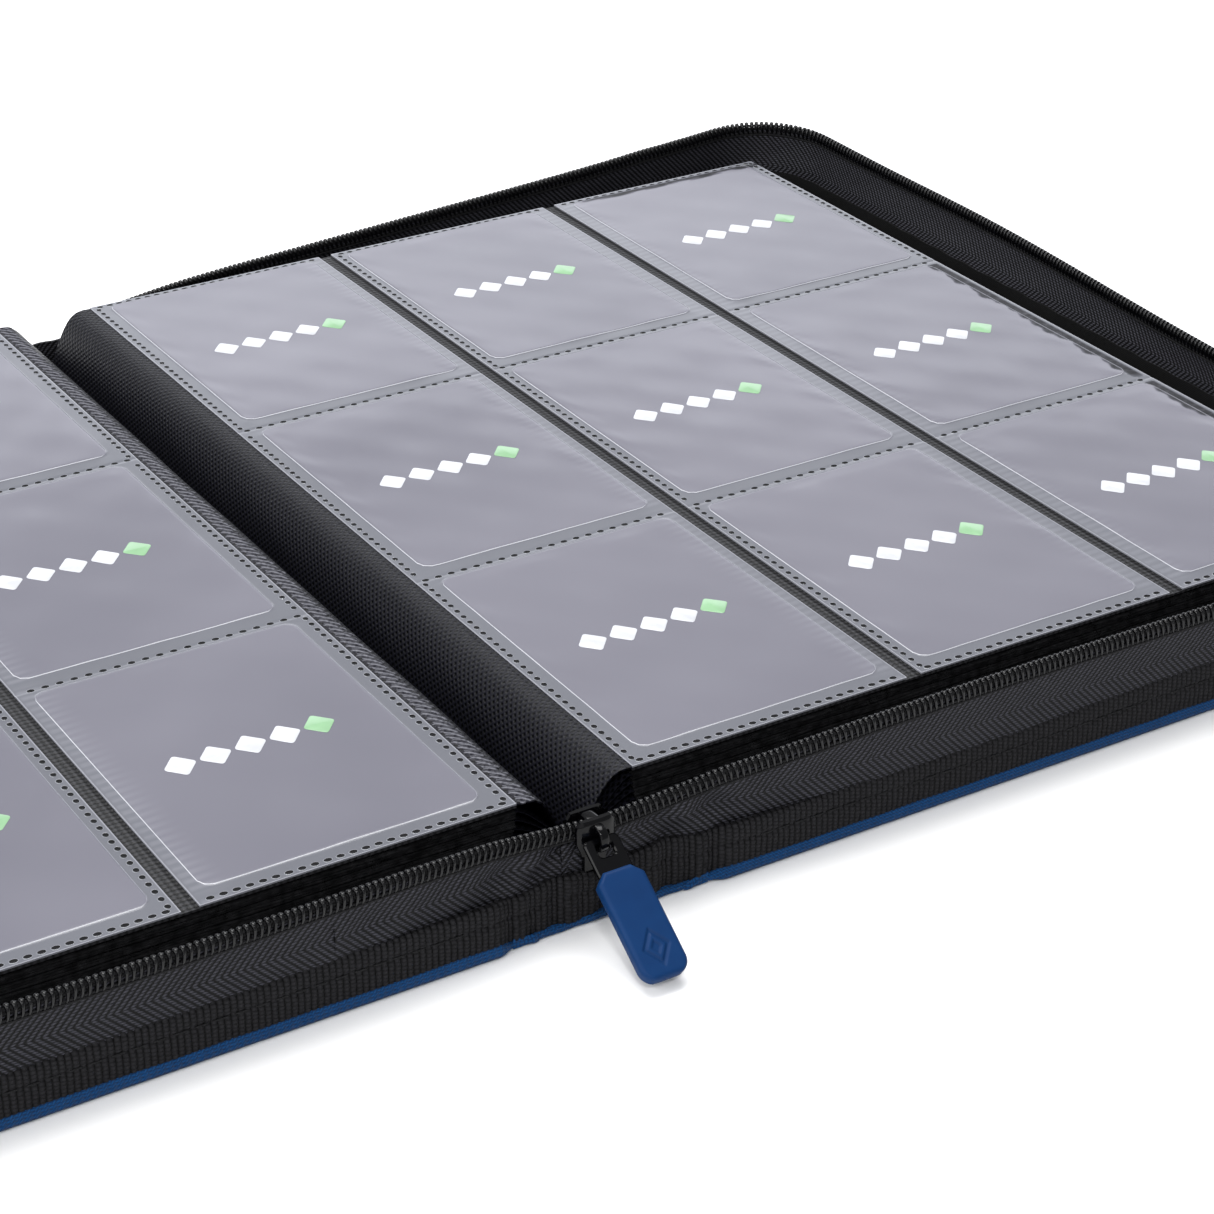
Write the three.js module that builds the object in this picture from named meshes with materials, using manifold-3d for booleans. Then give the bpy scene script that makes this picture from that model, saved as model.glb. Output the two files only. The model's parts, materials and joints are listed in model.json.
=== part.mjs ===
// A zip-round nine-pocket binder for trading cards, lying open and flat on its two covers.
// Millimetres. The origin is on the table under the middle of the spine. +X runs from the
// spine out over the back cover, +Y along the spine away from the zip slider, +Z up.
import * as THREE from "three";
import { mergeVertices } from "three/addons/utils/BufferGeometryUtils.js";
import Module from "manifold-3d";

const wasm = await Module();
wasm.setup();

// ---------------------------------------------------------------- driving dimensions
const GAP = 0.3; // clearance between pieces that touch on the real binder

const COLUMN = { pitch: 75, width: 71, count: 3 }; // a welded strip of three pockets
const ROW_PITCH = 95;
const PAGE_HEIGHT = 3 * ROW_PITCH;
const PAGE_INNER = 14; // where the film of a page starts, from the middle of the spine
const PAGE_OUTER = PAGE_INNER + (COLUMN.count - 1) * COLUMN.pitch + COLUMN.width;

const LEAVES = 10; // on each side, the turning leaf included
const LEAF_PITCH = 2.04;
const STACK_BASE = 4.1;
const STACK_FAN = 4; // how much further out the bottom leaf starts than the top one
const BACKING_THICK = 1.0;
const FILM_THICK = 0.74;

const HINGE_X = 26.8; // the soft fold between the spine and a cover
const WALL = { x: 253.5, y: 158, radius: 25 }; // middle of the standing zip tape
const TAPE_THICK = 1.2;
const BINDING_THICK = 1.6;
const SKIN_THICK = 0.7;
const COVER_OVERHANG = 1.1; // the cloth cover past the middle of the wall
const LEVEL = {
  rim: 3.6,
  boardLow: 0.9,
  boardHigh: 3.1,
  liningLow: 3.3,
  liningHigh: 3.8,
  bindingLow: 4.0,
  bindingHigh: 13.0,
  tapeHigh: 25.0,
  coil: 26.65,
};
const COIL_RADIUS = 1.35;
const STIFF_FROM = 64; // nearer the spine than this, the zip tape is slack and folds
const FAR_DROP = { from: 204, to: 58, depth: 8 }; // the tape sinks towards the far end of the spine

const SLIDER = { x: -4, y: -155, low: 17, high: 25.2, width: 9 };
const PULL = { y: -159.4, z: 20.6, slope: 35, gripFrom: 6.5, gripTo: 31.4, width: 11, thick: 3.2 };

// ---------------------------------------------------------------- materials
const paint = (color, roughness, metalness = 0) =>
  new THREE.MeshStandardMaterial({ color, roughness, metalness });
const CLOTH = paint(0x1b3f73, 0.9);
const TAPE = paint(0x17171b, 0.95);
const COIL = paint(0x0e0e10, 0.3);
const BOARD = paint(0x8a8070, 0.9);
const BACKING = paint(0x2a2a2e, 0.6);
const FILM = paint(0xa8aab4, 0.25);
const METAL = paint(0x1a1a1d, 0.35, 0.8);
const GRIP = paint(0x1d4689, 0.6);

const binder = new THREE.Group();
binder.name = "zip_pocket_binder";

// ---------------------------------------------------------------- helpers
function solidOf(geometry) {
  const bare = geometry.clone();
  bare.deleteAttribute("normal");
  bare.deleteAttribute("uv");
  const merged = mergeVertices(bare, 1e-4);
  return new wasm.Manifold(
    new wasm.Mesh({
      numProp: 3,
      vertProperties: new Float32Array(merged.attributes.position.array),
      triVerts: new Uint32Array(merged.index.array),
    }),
  );
}

function geometryOf(solid) {
  const mesh = solid.getMesh();
  const geometry = new THREE.BufferGeometry();
  geometry.setAttribute("position", new THREE.BufferAttribute(mesh.vertProperties, 3));
  geometry.setIndex(new THREE.BufferAttribute(mesh.triVerts, 1));
  return geometry;
}

function add(group, name, geometry, material) {
  const mesh = new THREE.Mesh(geometry, material);
  mesh.name = name;
  group.add(mesh);
  return mesh;
}

// A box between two corners.
function block([x0, y0, z0], [x1, y1, z1]) {
  const box = new THREE.BoxGeometry(x1 - x0, y1 - y0, z1 - z0);
  box.translate((x0 + x1) / 2, (y0 + y1) / 2, (z0 + z1) / 2);
  return box;
}

const shapeOf = (points) => new THREE.Shape(points.map(([x, y]) => new THREE.Vector2(x, y)));

// An outline in X and Y, raised from low to high.
function slab(points, low, high) {
  const flat = new THREE.ExtrudeGeometry(shapeOf(points), { depth: high - low, bevelEnabled: false });
  return flat.translate(0, 0, low);
}

// An outline in X and Z, run along Y from near to far.
function prism(points, near, far) {
  const flat = new THREE.ExtrudeGeometry(shapeOf(points), { depth: far - near, bevelEnabled: false });
  return flat.rotateX(Math.PI / 2).translate(0, far, 0);
}

// The outline of a strip of the given thickness along a polyline.
function stripOutline(path, thick) {
  const left = [];
  const right = [];
  path.forEach(([x, y], i) => {
    const [ax, ay] = path[Math.max(i - 1, 0)];
    const [bx, by] = path[Math.min(i + 1, path.length - 1)];
    const run = Math.hypot(bx - ax, by - ay);
    const nx = (-(by - ay) / run) * (thick / 2);
    const ny = ((bx - ax) / run) * (thick / 2);
    left.push([x + nx, y + ny]);
    right.unshift([x - nx, y - ny]);
  });
  return [...left, ...right];
}

// Points of a rounded outer corner, from the angle a to b, both in quarter turns.
function cornerArc(cx, cy, radius, a, b, steps = 8) {
  return Array.from({ length: steps + 1 }, (_, i) => {
    const angle = ((a + ((b - a) * i) / steps) * Math.PI) / 2;
    return [cx + radius * Math.cos(angle), cy + radius * Math.sin(angle)];
  });
}

// The middle line of the standing wall of a cover, from the near spine end round to the far one.
function wallPath(startX) {
  const cx = WALL.x - WALL.radius;
  const cy = WALL.y - WALL.radius;
  return [
    [startX, -WALL.y],
    ...cornerArc(cx, -cy, WALL.radius, -1, 0),
    ...cornerArc(cx, cy, WALL.radius, 0, 1),
    [startX, WALL.y],
  ];
}

// A cover's footprint, inset from its outer edge, with square corners at the fold.
function coverOutline(inset, startX) {
  const grow = COVER_OVERHANG - inset;
  const cx = WALL.x - WALL.radius;
  const cy = WALL.y - WALL.radius;
  return [
    [startX, -WALL.y - grow],
    ...cornerArc(cx, -cy, WALL.radius + grow, -1, 0),
    ...cornerArc(cx, cy, WALL.radius + grow, 0, 1),
    [startX, WALL.y + grow],
  ];
}

const farDrop = (x) =>
  Math.max(0, (FAR_DROP.depth * (FAR_DROP.from - x)) / (FAR_DROP.from - FAR_DROP.to));

// A tube of round section through the given points.
function tube(points, radius, steps) {
  const curve = new THREE.CatmullRomCurve3(points.map((p) => new THREE.Vector3(...p)), false, "centripetal");
  const section = new THREE.Shape();
  section.absarc(0, 0, radius, 0, 2 * Math.PI, false);
  return new THREE.ExtrudeGeometry(section, { steps, extrudePath: curve, curveSegments: 4 });
}

// ---------------------------------------------------------------- cover boards, cloth and lining
function coverShell(group, side) {
  const outer = solidOf(slab(coverOutline(0, HINGE_X + GAP), 0, LEVEL.rim));
  const inner = solidOf(slab(coverOutline(SKIN_THICK, HINGE_X - 5), SKIN_THICK, LEVEL.rim + 5));
  add(group, side + "_cover_cloth", geometryOf(outer.subtract(inner)), CLOTH);
  const boardFrom = HINGE_X + 1.5;
  const board = slab(coverOutline(SKIN_THICK + GAP, boardFrom), LEVEL.boardLow, LEVEL.boardHigh);
  add(group, side + "_cover_board", board, BOARD);
  const lining = slab(coverOutline(SKIN_THICK + GAP, boardFrom), LEVEL.liningLow, LEVEL.liningHigh);
  add(group, side + "_cover_lining", lining, TAPE);
}

// ---------------------------------------------------------------- standing wall: binding, tape and coil
// Cuts away what stands above the line from (20, low) to (FAR_DROP.from, high) along the far edge.
function farWedge(lineAt20, lineAtFrom, ceiling) {
  const outline = [
    [20, lineAt20],
    [FAR_DROP.from, lineAtFrom],
    [FAR_DROP.from, ceiling],
    [20, ceiling],
  ];
  return solidOf(prism(outline, WALL.y - WALL.radius, WALL.y + 20));
}

const bindingTop = (x) => LEVEL.bindingHigh - 0.6 * farDrop(x);
const tapeTop = (x) => LEVEL.tapeHigh - farDrop(x);

function edgeBinding(group, side) {
  const outline = stripOutline(wallPath(HINGE_X + 2.2), BINDING_THICK);
  const ring = solidOf(slab(outline, LEVEL.bindingLow, LEVEL.bindingHigh));
  const wedge = farWedge(bindingTop(20), LEVEL.bindingHigh, 40);
  add(group, side + "_edge_binding", geometryOf(ring.subtract(wedge)), TAPE);
}

function zipTape(group, side) {
  const base = LEVEL.bindingHigh + GAP;
  const lowest = bindingTop(20) + GAP;
  const outline = stripOutline(wallPath(STIFF_FROM), TAPE_THICK);
  const ring = solidOf(slab(outline, lowest, LEVEL.tapeHigh));
  const nearFoot = solidOf(block([0, -200, 0], [300, WALL.y - WALL.radius, base]));
  const farFoot = solidOf(
    prism([[0, 0], [300, 0], [300, base], [FAR_DROP.from, base], [20, lowest], [0, lowest]],
      WALL.y - WALL.radius, 200),
  );
  const wedge = farWedge(tapeTop(20), LEVEL.tapeHigh, 40);
  const tape = ring.subtract(nearFoot).subtract(farFoot).subtract(wedge);
  add(group, side + "_zip_tape", geometryOf(tape), TAPE);
}

function zipCoil(group, side) {
  const cx = WALL.x - WALL.radius;
  const near = [STIFF_FROM, 104, 144, 184].map((x) => [x, -WALL.y, LEVEL.coil]);
  const far = [FAR_DROP.from, 170, 136, 100, STIFF_FROM].map((x) => [x, WALL.y, LEVEL.coil - farDrop(x)]);
  const round = [
    ...cornerArc(cx, -WALL.y + WALL.radius, WALL.radius, -1, 0),
    ...[-80, 0, 80].map((y) => [WALL.x, y]),
    ...cornerArc(cx, WALL.y - WALL.radius, WALL.radius, 0, 1),
  ].map(([x, y]) => [x, y, LEVEL.coil]);
  add(group, side + "_zip_coil", tube([...near, ...round, ...far], COIL_RADIUS, 90), COIL);
}

// ---------------------------------------------------------------- leaves
const leafLow = (i) => STACK_BASE + LEAF_PITCH * i;
const leafInner = (i) => PAGE_INNER + STACK_FAN * ((LEAVES - 1 - i) / (LEAVES - 1)) ** 1.5;
const HALF_PAGE = PAGE_HEIGHT / 2;

function lowerLeaves(group, side) {
  for (let i = 0; i < LEAVES - 1; i++) {
    const low = [leafInner(i), -HALF_PAGE, leafLow(i)];
    const high = [PAGE_OUTER, HALF_PAGE, leafLow(i) + LEAF_PITCH - GAP];
    add(group, side + "_leaf_" + (i + 1), block(low, high), BACKING);
  }
}

function topLeaf(group, side) {
  const low = leafLow(LEAVES - 1);
  const backing = block([PAGE_INNER, -HALF_PAGE, low], [PAGE_OUTER, HALF_PAGE, low + BACKING_THICK]);
  add(group, side + "_top_leaf_backing", backing, BACKING);
  const filmLow = low + BACKING_THICK + GAP;
  for (let c = 0; c < COLUMN.count; c++) {
    const x = PAGE_INNER + c * COLUMN.pitch;
    const strip = block([x, -HALF_PAGE, filmLow], [x + COLUMN.width, HALF_PAGE, filmLow + FILM_THICK]);
    add(group, side + "_pocket_column_" + (c + 1), strip, FILM);
  }
}

// The soft margin of the top leaf: level by the film, then curving down to the spine.
const MARGIN_CURVE = [[13.7, 22.95], [9.5, 23.0], [5.5, 21.0], [2.6, 16], [1.3, 10], [1.0, 6.1]];
// The margins of the leaves below it, gathered in one bundle.
const BUNDLE_OUTLINE = [
  [1.9, 5.9], [5.4, 5.9], [5.4, 4.3], [17.6, 4.3], [16.2, 8.5], [14.9, 13], [14.0, 18],
  [13.6, 22.2], [9.8, 22.2], [6.2, 20.2], [3.5, 15.6], [2.2, 10],
];

function gutter(group, side) {
  const half = HALF_PAGE - GAP;
  add(group, side + "_leaf_margin", prism(stripOutline(MARGIN_CURVE, 0.6), -half, half), BACKING);
  add(group, side + "_margin_bundle", prism(BUNDLE_OUTLINE, -half, half), BACKING);
}

// ---------------------------------------------------------------- both halves
for (const [side, mirror] of [["back", 1], ["front", -1]]) {
  const half = new THREE.Group();
  half.scale.x = mirror;
  coverShell(half, side);
  edgeBinding(half, side);
  zipTape(half, side);
  zipCoil(half, side);
  lowerLeaves(half, side);
  topLeaf(half, side);
  gutter(half, side);
  binder.add(half);
}

// ---------------------------------------------------------------- spine
const SPINE = { skinX: 26.5, rimX: 24, boardX: 23, y: 157.5 };

function spine() {
  const base = solidOf(block([-SPINE.skinX, -SPINE.y, 0], [SPINE.skinX, SPINE.y, SKIN_THICK]));
  const rims = [-1, 1].map((end) => {
    const y0 = Math.min(end * SPINE.y, end * (SPINE.y - SKIN_THICK));
    return solidOf(block([-SPINE.rimX, y0, 0.2], [SPINE.rimX, y0 + SKIN_THICK, LEVEL.rim - 0.2]));
  });
  add(binder, "spine_cloth", geometryOf(base.add(rims[0]).add(rims[1])), CLOTH);
  add(binder, "spine_board", block([-SPINE.boardX, -156, 0.9], [SPINE.boardX, 156, 2.4]), BOARD);
  add(binder, "spine_lining", block([-SPINE.boardX, -156, 2.6], [SPINE.boardX, 156, 3.1]), TAPE);
  add(binder, "page_binding_strip", block([-3.4, -HALF_PAGE, 3.4], [3.4, HALF_PAGE, 5.6]), BACKING);
}
spine();

// ---------------------------------------------------------------- slack ends of the zip tapes
const TAIL_HALF = 7; // half the width of the tape patch under the slider
const TAIL_TOP = 20;
const FAR_PATCH = { half: 12, y: 151, top: 13 };

// A standing sheet along a plan path, cut to an outline in X and Z, with its coil along the top.
function slackTape(name, plan, outline, coilPath) {
  const xs = plan.map(([x]) => x);
  const sheet = solidOf(slab(stripOutline(plan, TAPE_THICK), 3, 28));
  const ys = plan.map(([, y]) => y);
  const cut = solidOf(prism(outline, Math.min(...ys) - 5, Math.max(...ys) + 5));
  const coil = solidOf(tube(coilPath, COIL_RADIUS, Math.round(Math.abs(xs[0] - xs.at(-1)) / 5)));
  add(binder, name, geometryOf(sheet.intersect(cut).add(coil)), TAPE);
}

function nearSlack(side, s) {
  const end = SLIDER.x + s * 1.3; // where the coil enters the slider
  const patch = SLIDER.x + s * (TAIL_HALF + GAP);
  const outer = s * (STIFF_FROM - GAP);
  const fold = s * (HINGE_X + 1.9);
  const plan = [[outer, -WALL.y], [s * 46, -157.3], [s * 28, -156], [s * 12, SLIDER.y], [end, SLIDER.y]];
  const foot = LEVEL.bindingHigh + GAP;
  const outline = [
    [outer, foot], [fold, foot], [fold, 4], [patch, 4], [patch, TAIL_TOP + GAP], [end, TAIL_TOP + GAP],
    [end, 21.6], [s * 14, 22.4], [s * 30, 24.4], [s * 46, 25], [outer, 25],
  ];
  const coilPath = [
    [outer, -WALL.y, LEVEL.coil], [s * 46, -157.3, 26.2], [s * 28, -156, 25], [s * 12, SLIDER.y, 23],
    [end, SLIDER.y, 22.2],
  ];
  slackTape(side + "_near_slack_tape", plan, outline, coilPath);
}

function farSlack(side, s) {
  const outer = s * (STIFF_FROM - GAP);
  const fold = s * (HINGE_X + 1.9);
  const end = s * (FAR_PATCH.half + GAP);
  const plan = [[outer, WALL.y], [s * 46, 157.2], [s * 28, 154.5], [end, FAR_PATCH.y]];
  const rise = (x) => bindingTop(x) + GAP;
  const outline = [
    [outer, rise(64)], [fold, rise(28)], [fold, 4], [end, 4], [end, 12.4],
    [s * 28, tapeTop(28)], [s * 46, tapeTop(46)], [outer, tapeTop(64)],
  ];
  const coilPath = [64 - GAP, 46, 28].map((x, i) => [s * x, plan[i][1], LEVEL.coil - farDrop(x)]);
  slackTape(side + "_far_slack_tape", plan, outline, [...coilPath, [end, FAR_PATCH.y, 13]]);
}

for (const [side, s] of [["back", 1], ["front", -1]]) {
  nearSlack(side, s);
  farSlack(side, s);
}

const strip = TAPE_THICK / 2;
add(binder, "zip_tail_tape",
  block([SLIDER.x - TAIL_HALF, SLIDER.y - strip, 4], [SLIDER.x + TAIL_HALF, SLIDER.y + strip, TAIL_TOP]), TAPE);
add(binder, "zip_end_stop",
  block([SLIDER.x - 2.5, SLIDER.y - 2.1, 13], [SLIDER.x + 2.5, SLIDER.y - strip - GAP, SLIDER.low - GAP]), METAL);
add(binder, "zip_far_patch",
  block([-FAR_PATCH.half, FAR_PATCH.y - strip, 4], [FAR_PATCH.half, FAR_PATCH.y + strip, FAR_PATCH.top]), TAPE);

// ---------------------------------------------------------------- slider, its bridge and the pull
// Two plates joined by a post: the coils pass between them on either side of the post.
function sliderBody() {
  const half = SLIDER.width / 2;
  const plate = [
    [-half + 1, SLIDER.low], [half - 1, SLIDER.low], [half, SLIDER.low + 5],
    [half, SLIDER.high - 2], [half - 2, SLIDER.high], [-half + 2, SLIDER.high],
    [-half, SLIDER.high - 2], [-half, SLIDER.low + 5],
  ].map(([x, z]) => [x + SLIDER.x, z]);
  const outer = solidOf(prism(plate, SLIDER.y - 2.9, SLIDER.y - 1.7));
  const inner = solidOf(prism(plate, SLIDER.y + 1.7, SLIDER.y + 2.9));
  const post = block([SLIDER.x - 0.6, SLIDER.y - 2.5, 22], [SLIDER.x + 0.6, SLIDER.y + 2.5, 24.6]);
  add(binder, "zip_slider_body", geometryOf(outer.add(inner).add(solidOf(post))), METAL);
}

// An arch on the slider's front that holds the pull.
function sliderBridge() {
  const front = SLIDER.y - 2.9 - GAP;
  const outline = (grow) => [
    [front, 19.4 - grow], [front - 1.2 - grow, 19.4 - grow], [front - 2.1 - grow, 20.2],
    [front - 2.1 - grow, 22.4], [front - 1.2 - grow, 23.2 + grow], [front, 23.2 + grow],
  ];
  const run = (points) => {
    const flat = new THREE.ExtrudeGeometry(shapeOf(points), { depth: 1.8, bevelEnabled: false });
    return flat.rotateX(Math.PI / 2).rotateZ(Math.PI / 2).translate(SLIDER.x - 0.9, 0, 0);
  };
  const arch = solidOf(run(outline(1.1))).subtract(solidOf(run([[front + 1, 19.4], ...outline(0), [front + 1, 23.2]])));
  add(binder, "zip_slider_bridge", geometryOf(arch), METAL);
}

// A wire loop through the bridge and the moulded grip on its lower end.
function pull() {
  const hold = new THREE.Group();
  hold.position.set(SLIDER.x, PULL.y, PULL.z);
  hold.rotation.x = THREE.MathUtils.degToRad(PULL.slope);
  const bar = (x0, x1, y0, y1) => solidOf(block([x0, y0, -0.6], [x1, y1, 0.6]));
  const reach = -PULL.gripFrom + GAP;
  const loop = bar(-3, 3, -0.6, 0.6)
    .add(bar(-3, -1.8, reach, 0.5))
    .add(bar(1.8, 3, reach, 0.5))
    .add(bar(-3, 3, reach, reach + 1.2));
  add(hold, "zip_pull_link", geometryOf(loop), METAL);
  const w = PULL.width / 2;
  const outline = [
    ...cornerArc(w - 2.4, -PULL.gripTo + 2.4, 2.4, -1, 0, 4), ...cornerArc(w - 2.4, -PULL.gripFrom - 2.4, 2.4, 0, 1, 4),
    ...cornerArc(-w + 2.4, -PULL.gripFrom - 2.4, 2.4, 1, 2, 4), ...cornerArc(-w + 2.4, -PULL.gripTo + 2.4, 2.4, 2, 3, 4),
  ];
  add(hold, "zip_pull_grip", slab(outline, -PULL.thick / 2, PULL.thick / 2), GRIP);
  binder.add(hold);
}

sliderBody();
sliderBridge();
pull();

export default binder;
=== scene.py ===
"""A zip-round nine-pocket card binder lying open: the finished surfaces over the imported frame.

Lengths in this file are millimetres until make() turns them into metres. Each half is built on the
+X side (the back cover) and mirrored for the front cover by m = -1.
"""

import json
import math

import bmesh
import bpy
import numpy as np
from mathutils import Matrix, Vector


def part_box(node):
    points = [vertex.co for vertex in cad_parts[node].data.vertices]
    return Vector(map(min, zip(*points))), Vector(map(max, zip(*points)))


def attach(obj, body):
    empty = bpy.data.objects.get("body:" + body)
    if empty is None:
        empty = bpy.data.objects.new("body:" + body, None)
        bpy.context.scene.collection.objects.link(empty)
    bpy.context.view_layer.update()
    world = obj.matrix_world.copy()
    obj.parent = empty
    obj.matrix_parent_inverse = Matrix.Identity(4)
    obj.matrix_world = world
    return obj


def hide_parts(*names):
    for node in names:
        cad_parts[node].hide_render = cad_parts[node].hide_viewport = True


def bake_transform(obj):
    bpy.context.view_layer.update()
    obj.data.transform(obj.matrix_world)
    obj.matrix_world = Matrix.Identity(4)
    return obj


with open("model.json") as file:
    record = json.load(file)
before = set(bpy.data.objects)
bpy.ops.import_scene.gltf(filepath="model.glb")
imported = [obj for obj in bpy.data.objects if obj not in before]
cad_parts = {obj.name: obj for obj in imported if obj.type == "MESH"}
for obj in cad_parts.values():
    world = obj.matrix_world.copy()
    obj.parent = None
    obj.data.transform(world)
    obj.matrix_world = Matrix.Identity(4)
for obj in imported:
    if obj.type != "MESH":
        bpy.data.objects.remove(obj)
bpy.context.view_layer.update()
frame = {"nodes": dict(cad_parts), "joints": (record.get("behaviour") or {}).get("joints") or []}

MM = 0.001
SIDES = (("back", 1), ("front", -1))


# ---- sizes, from the frame
def box_mm(node):
    """Lowest and highest corner of one of the frame's pieces, in millimetres."""
    low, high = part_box(node)
    return np.array(low) / MM, np.array(high) / MM


def joint_mm(name):
    return np.array(next(j for j in frame["joints"] if j["name"] == name)["pos_m"]) / MM


COLUMNS = [box_mm(f"back_pocket_column_{k}") for k in (1, 2, 3)]
COLUMN_WIDTH = COLUMNS[0][1][0] - COLUMNS[0][0][0]
COLUMN_PITCH = COLUMNS[1][0][0] - COLUMNS[0][0][0]
PAGE_INNER, PAGE_OUTER = COLUMNS[0][0][0], COLUMNS[2][1][0]
HALF_PAGE = COLUMNS[0][1][1]
ROW_PITCH = 2 * HALF_PAGE / 3
FILM_Z = (COLUMNS[0][0][2] + COLUMNS[0][1][2]) / 2
TAPE_BOX, BINDING_BOX, COIL_BOX = (box_mm(f"back_{n}") for n in ("zip_tape", "edge_binding", "zip_coil"))
WALL_X, WALL_Y = TAPE_BOX[1][0] - 0.6, TAPE_BOX[1][1] - 0.6
STIFF_FROM = TAPE_BOX[0][0]
BINDING_LOW, BINDING_HIGH = BINDING_BOX[0][2] - 0.6, BINDING_BOX[1][2]
COIL_Z = COIL_BOX[1][2] - 1.45
GRIP_BOX, SLIDER_BOX, BRIDGE_BOX = (box_mm(f"zip_{n}") for n in ("pull_grip", "slider_body", "slider_bridge"))
SLIDER_X = (SLIDER_BOX[0][0] + SLIDER_BOX[1][0]) / 2
SLIDER_Y = (SLIDER_BOX[0][1] + SLIDER_BOX[1][1]) / 2
PULL_ORIGIN = joint_mm("pull_hinge")
PULL_SLOPE = math.radians(35)
WALL_RADIUS = 25.0
CORNER_X, CORNER_Y = WALL_X - WALL_RADIUS, WALL_Y - WALL_RADIUS
CARD_WIDTH, CARD_HEIGHT, CARD_RADIUS = 63.0, 88.0, 3.0
CARD_SIDE_INSET = (4.9, 3.6, 4.6)
CARD_NEAR_INSET = 5.2
COIL_PITCH, RIB_PITCH = 1.47, 1.42
FOLD_END = 29.0  # where the fold beside the spine meets the stiff cover
LINE_STEP = 0.355  # spacing of the sections along the coil and the binding
LEAVES_BELOW, LEAF_PITCH, LEAF_FLOOR = 9, 2.04, 4.1
BACKING_LOW, BACKING_HIGH = 23.0, 23.55
STRIP_TOP = 5.75  # where the margins end on the binding strip


# ---- materials
def grey(value, blue=1.1):
    return value, value, value * blue, 1


class Shader:
    """A material and short ways to add nodes to it."""

    def __init__(self, name, **values):
        self.material = bpy.data.materials.new(name)
        self.material.use_nodes = True
        self.tree = self.material.node_tree
        self.bsdf = self.tree.nodes["Principled BSDF"]
        for key, value in values.items():
            self.bsdf.inputs[key.replace("_", " ")].default_value = value

    def put(self, socket, value):
        if isinstance(value, bpy.types.NodeSocket):
            self.tree.links.new(value, socket)
        else:
            socket.default_value = value

    def node(self, kind, **inputs):
        made = self.tree.nodes.new(f"ShaderNode{kind}")
        for key, value in inputs.items():
            self.put(made.inputs[key], value)
        return made

    def math(self, operation, *values):
        made = self.node("Math")
        made.operation = operation
        for socket, value in zip(made.inputs, values):
            self.put(socket, value)
        return made.outputs[0]

    def split(self, vector):
        made = self.node("SeparateXYZ", Vector=vector)
        return made.outputs["X"], made.outputs["Y"]

    def uv(self):
        pin = self.node("UVMap")
        pin.uv_map = "pattern"
        return self.split(pin.outputs["UV"])

    def place(self):
        return self.node("TexCoord").outputs["Object"]

    def attribute(self, name):
        made = self.node("Attribute")
        made.attribute_name = name
        return made.outputs["Fac"]

    def noise(self, scale, detail=3.0, rough=0.55):
        made = self.node("TexNoise", Vector=self.place(), Scale=scale, Detail=detail, Roughness=rough)
        return made.outputs["Fac"]

    def pebbles(self, scale):
        made = self.node("TexVoronoi", Vector=self.place(), Scale=scale)
        made.feature = "SMOOTH_F1"
        made.inputs["Smoothness"].default_value = 0.5
        return made.outputs["Distance"]

    def ramp(self, fac, low, high, a=0.0, b=1.0):
        made = self.node("ValToRGB", Fac=fac)
        for stop, at, colour in zip(made.color_ramp.elements, (a, b), (low, high)):
            stop.position = at
            stop.color = colour
        return made.outputs["Color"]

    def blend(self, fac, low, high):
        made = self.node("Mix", Factor=fac)
        made.data_type = "RGBA"
        self.put(made.inputs[6], low)
        self.put(made.inputs[7], high)
        return made.outputs[2]

    def span(self, fac, low, high):
        """low to high as fac goes from 0 to 1."""
        return self.math("MULTIPLY_ADD", fac, high - low, low)

    def wave(self, value, pitch):
        """Sine of a length, with a zero at every pitch."""
        return self.math("SINE", self.math("MULTIPLY", value, math.pi / pitch))

    def colour(self, value):
        self.put(self.bsdf.inputs["Base Color"], value)

    def gloss(self, scale, low, high):
        """Roughness that wanders between two values."""
        self.put(self.bsdf.inputs["Roughness"], self.span(self.noise(scale), low, high))

    def bump(self, height, distance, strength=1.0):
        made = self.node("Bump", Height=height, Distance=distance * MM, Strength=strength)
        self.put(self.bsdf.inputs["Normal"], made.outputs["Normal"])


def plain(name, mottle, low, high, gloss, between=(0.0, 1.0), **values):
    """A material whose colour and gloss only wander softly from place to place."""
    s = Shader(name, **values)
    s.colour(s.ramp(s.noise(mottle), low, high, *between))
    s.gloss(*gloss)
    return s


def weave(s, pitch):
    """A plain over-and-under weave on the pattern map: 0 in the gaps, 1 on the threads."""
    u, v = s.uv()
    across, along = s.wave(u, pitch), s.wave(v, pitch)
    over = s.math("GREATER_THAN", s.math("MULTIPLY", across, along), 0.0)
    a, b = s.math("ABSOLUTE", across), s.math("ABSOLUTE", along)
    return s.math("MULTIPLY_ADD", over, s.math("SUBTRACT", b, a), a)


def cloth_blue():
    s = Shader("blue_woven_nylon", Roughness=0.72, Specular_IOR_Level=0.12, Sheen_Weight=0.04)
    thread = weave(s, 0.85)
    tint = s.math("MULTIPLY_ADD", s.noise(240.0), 0.35, s.math("MULTIPLY", thread, 0.75))
    s.colour(s.ramp(tint, (0.0008, 0.0120, 0.0480, 1), (0.0032, 0.0470, 0.1500, 1), 0.15, 0.95))
    s.bump(thread, 0.16)
    return s.material


def cloth_black(name, pitch, low=0.0018, high=0.009):
    s = Shader(name, Roughness=0.8, Specular_IOR_Level=0.2)
    thread = weave(s, pitch)
    tint = s.math("MULTIPLY_ADD", s.noise(300.0), 0.3, s.math("MULTIPLY", thread, 0.7))
    s.colour(s.ramp(tint, grey(low), grey(high)))
    s.bump(thread, 0.12)
    return s.material


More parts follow.
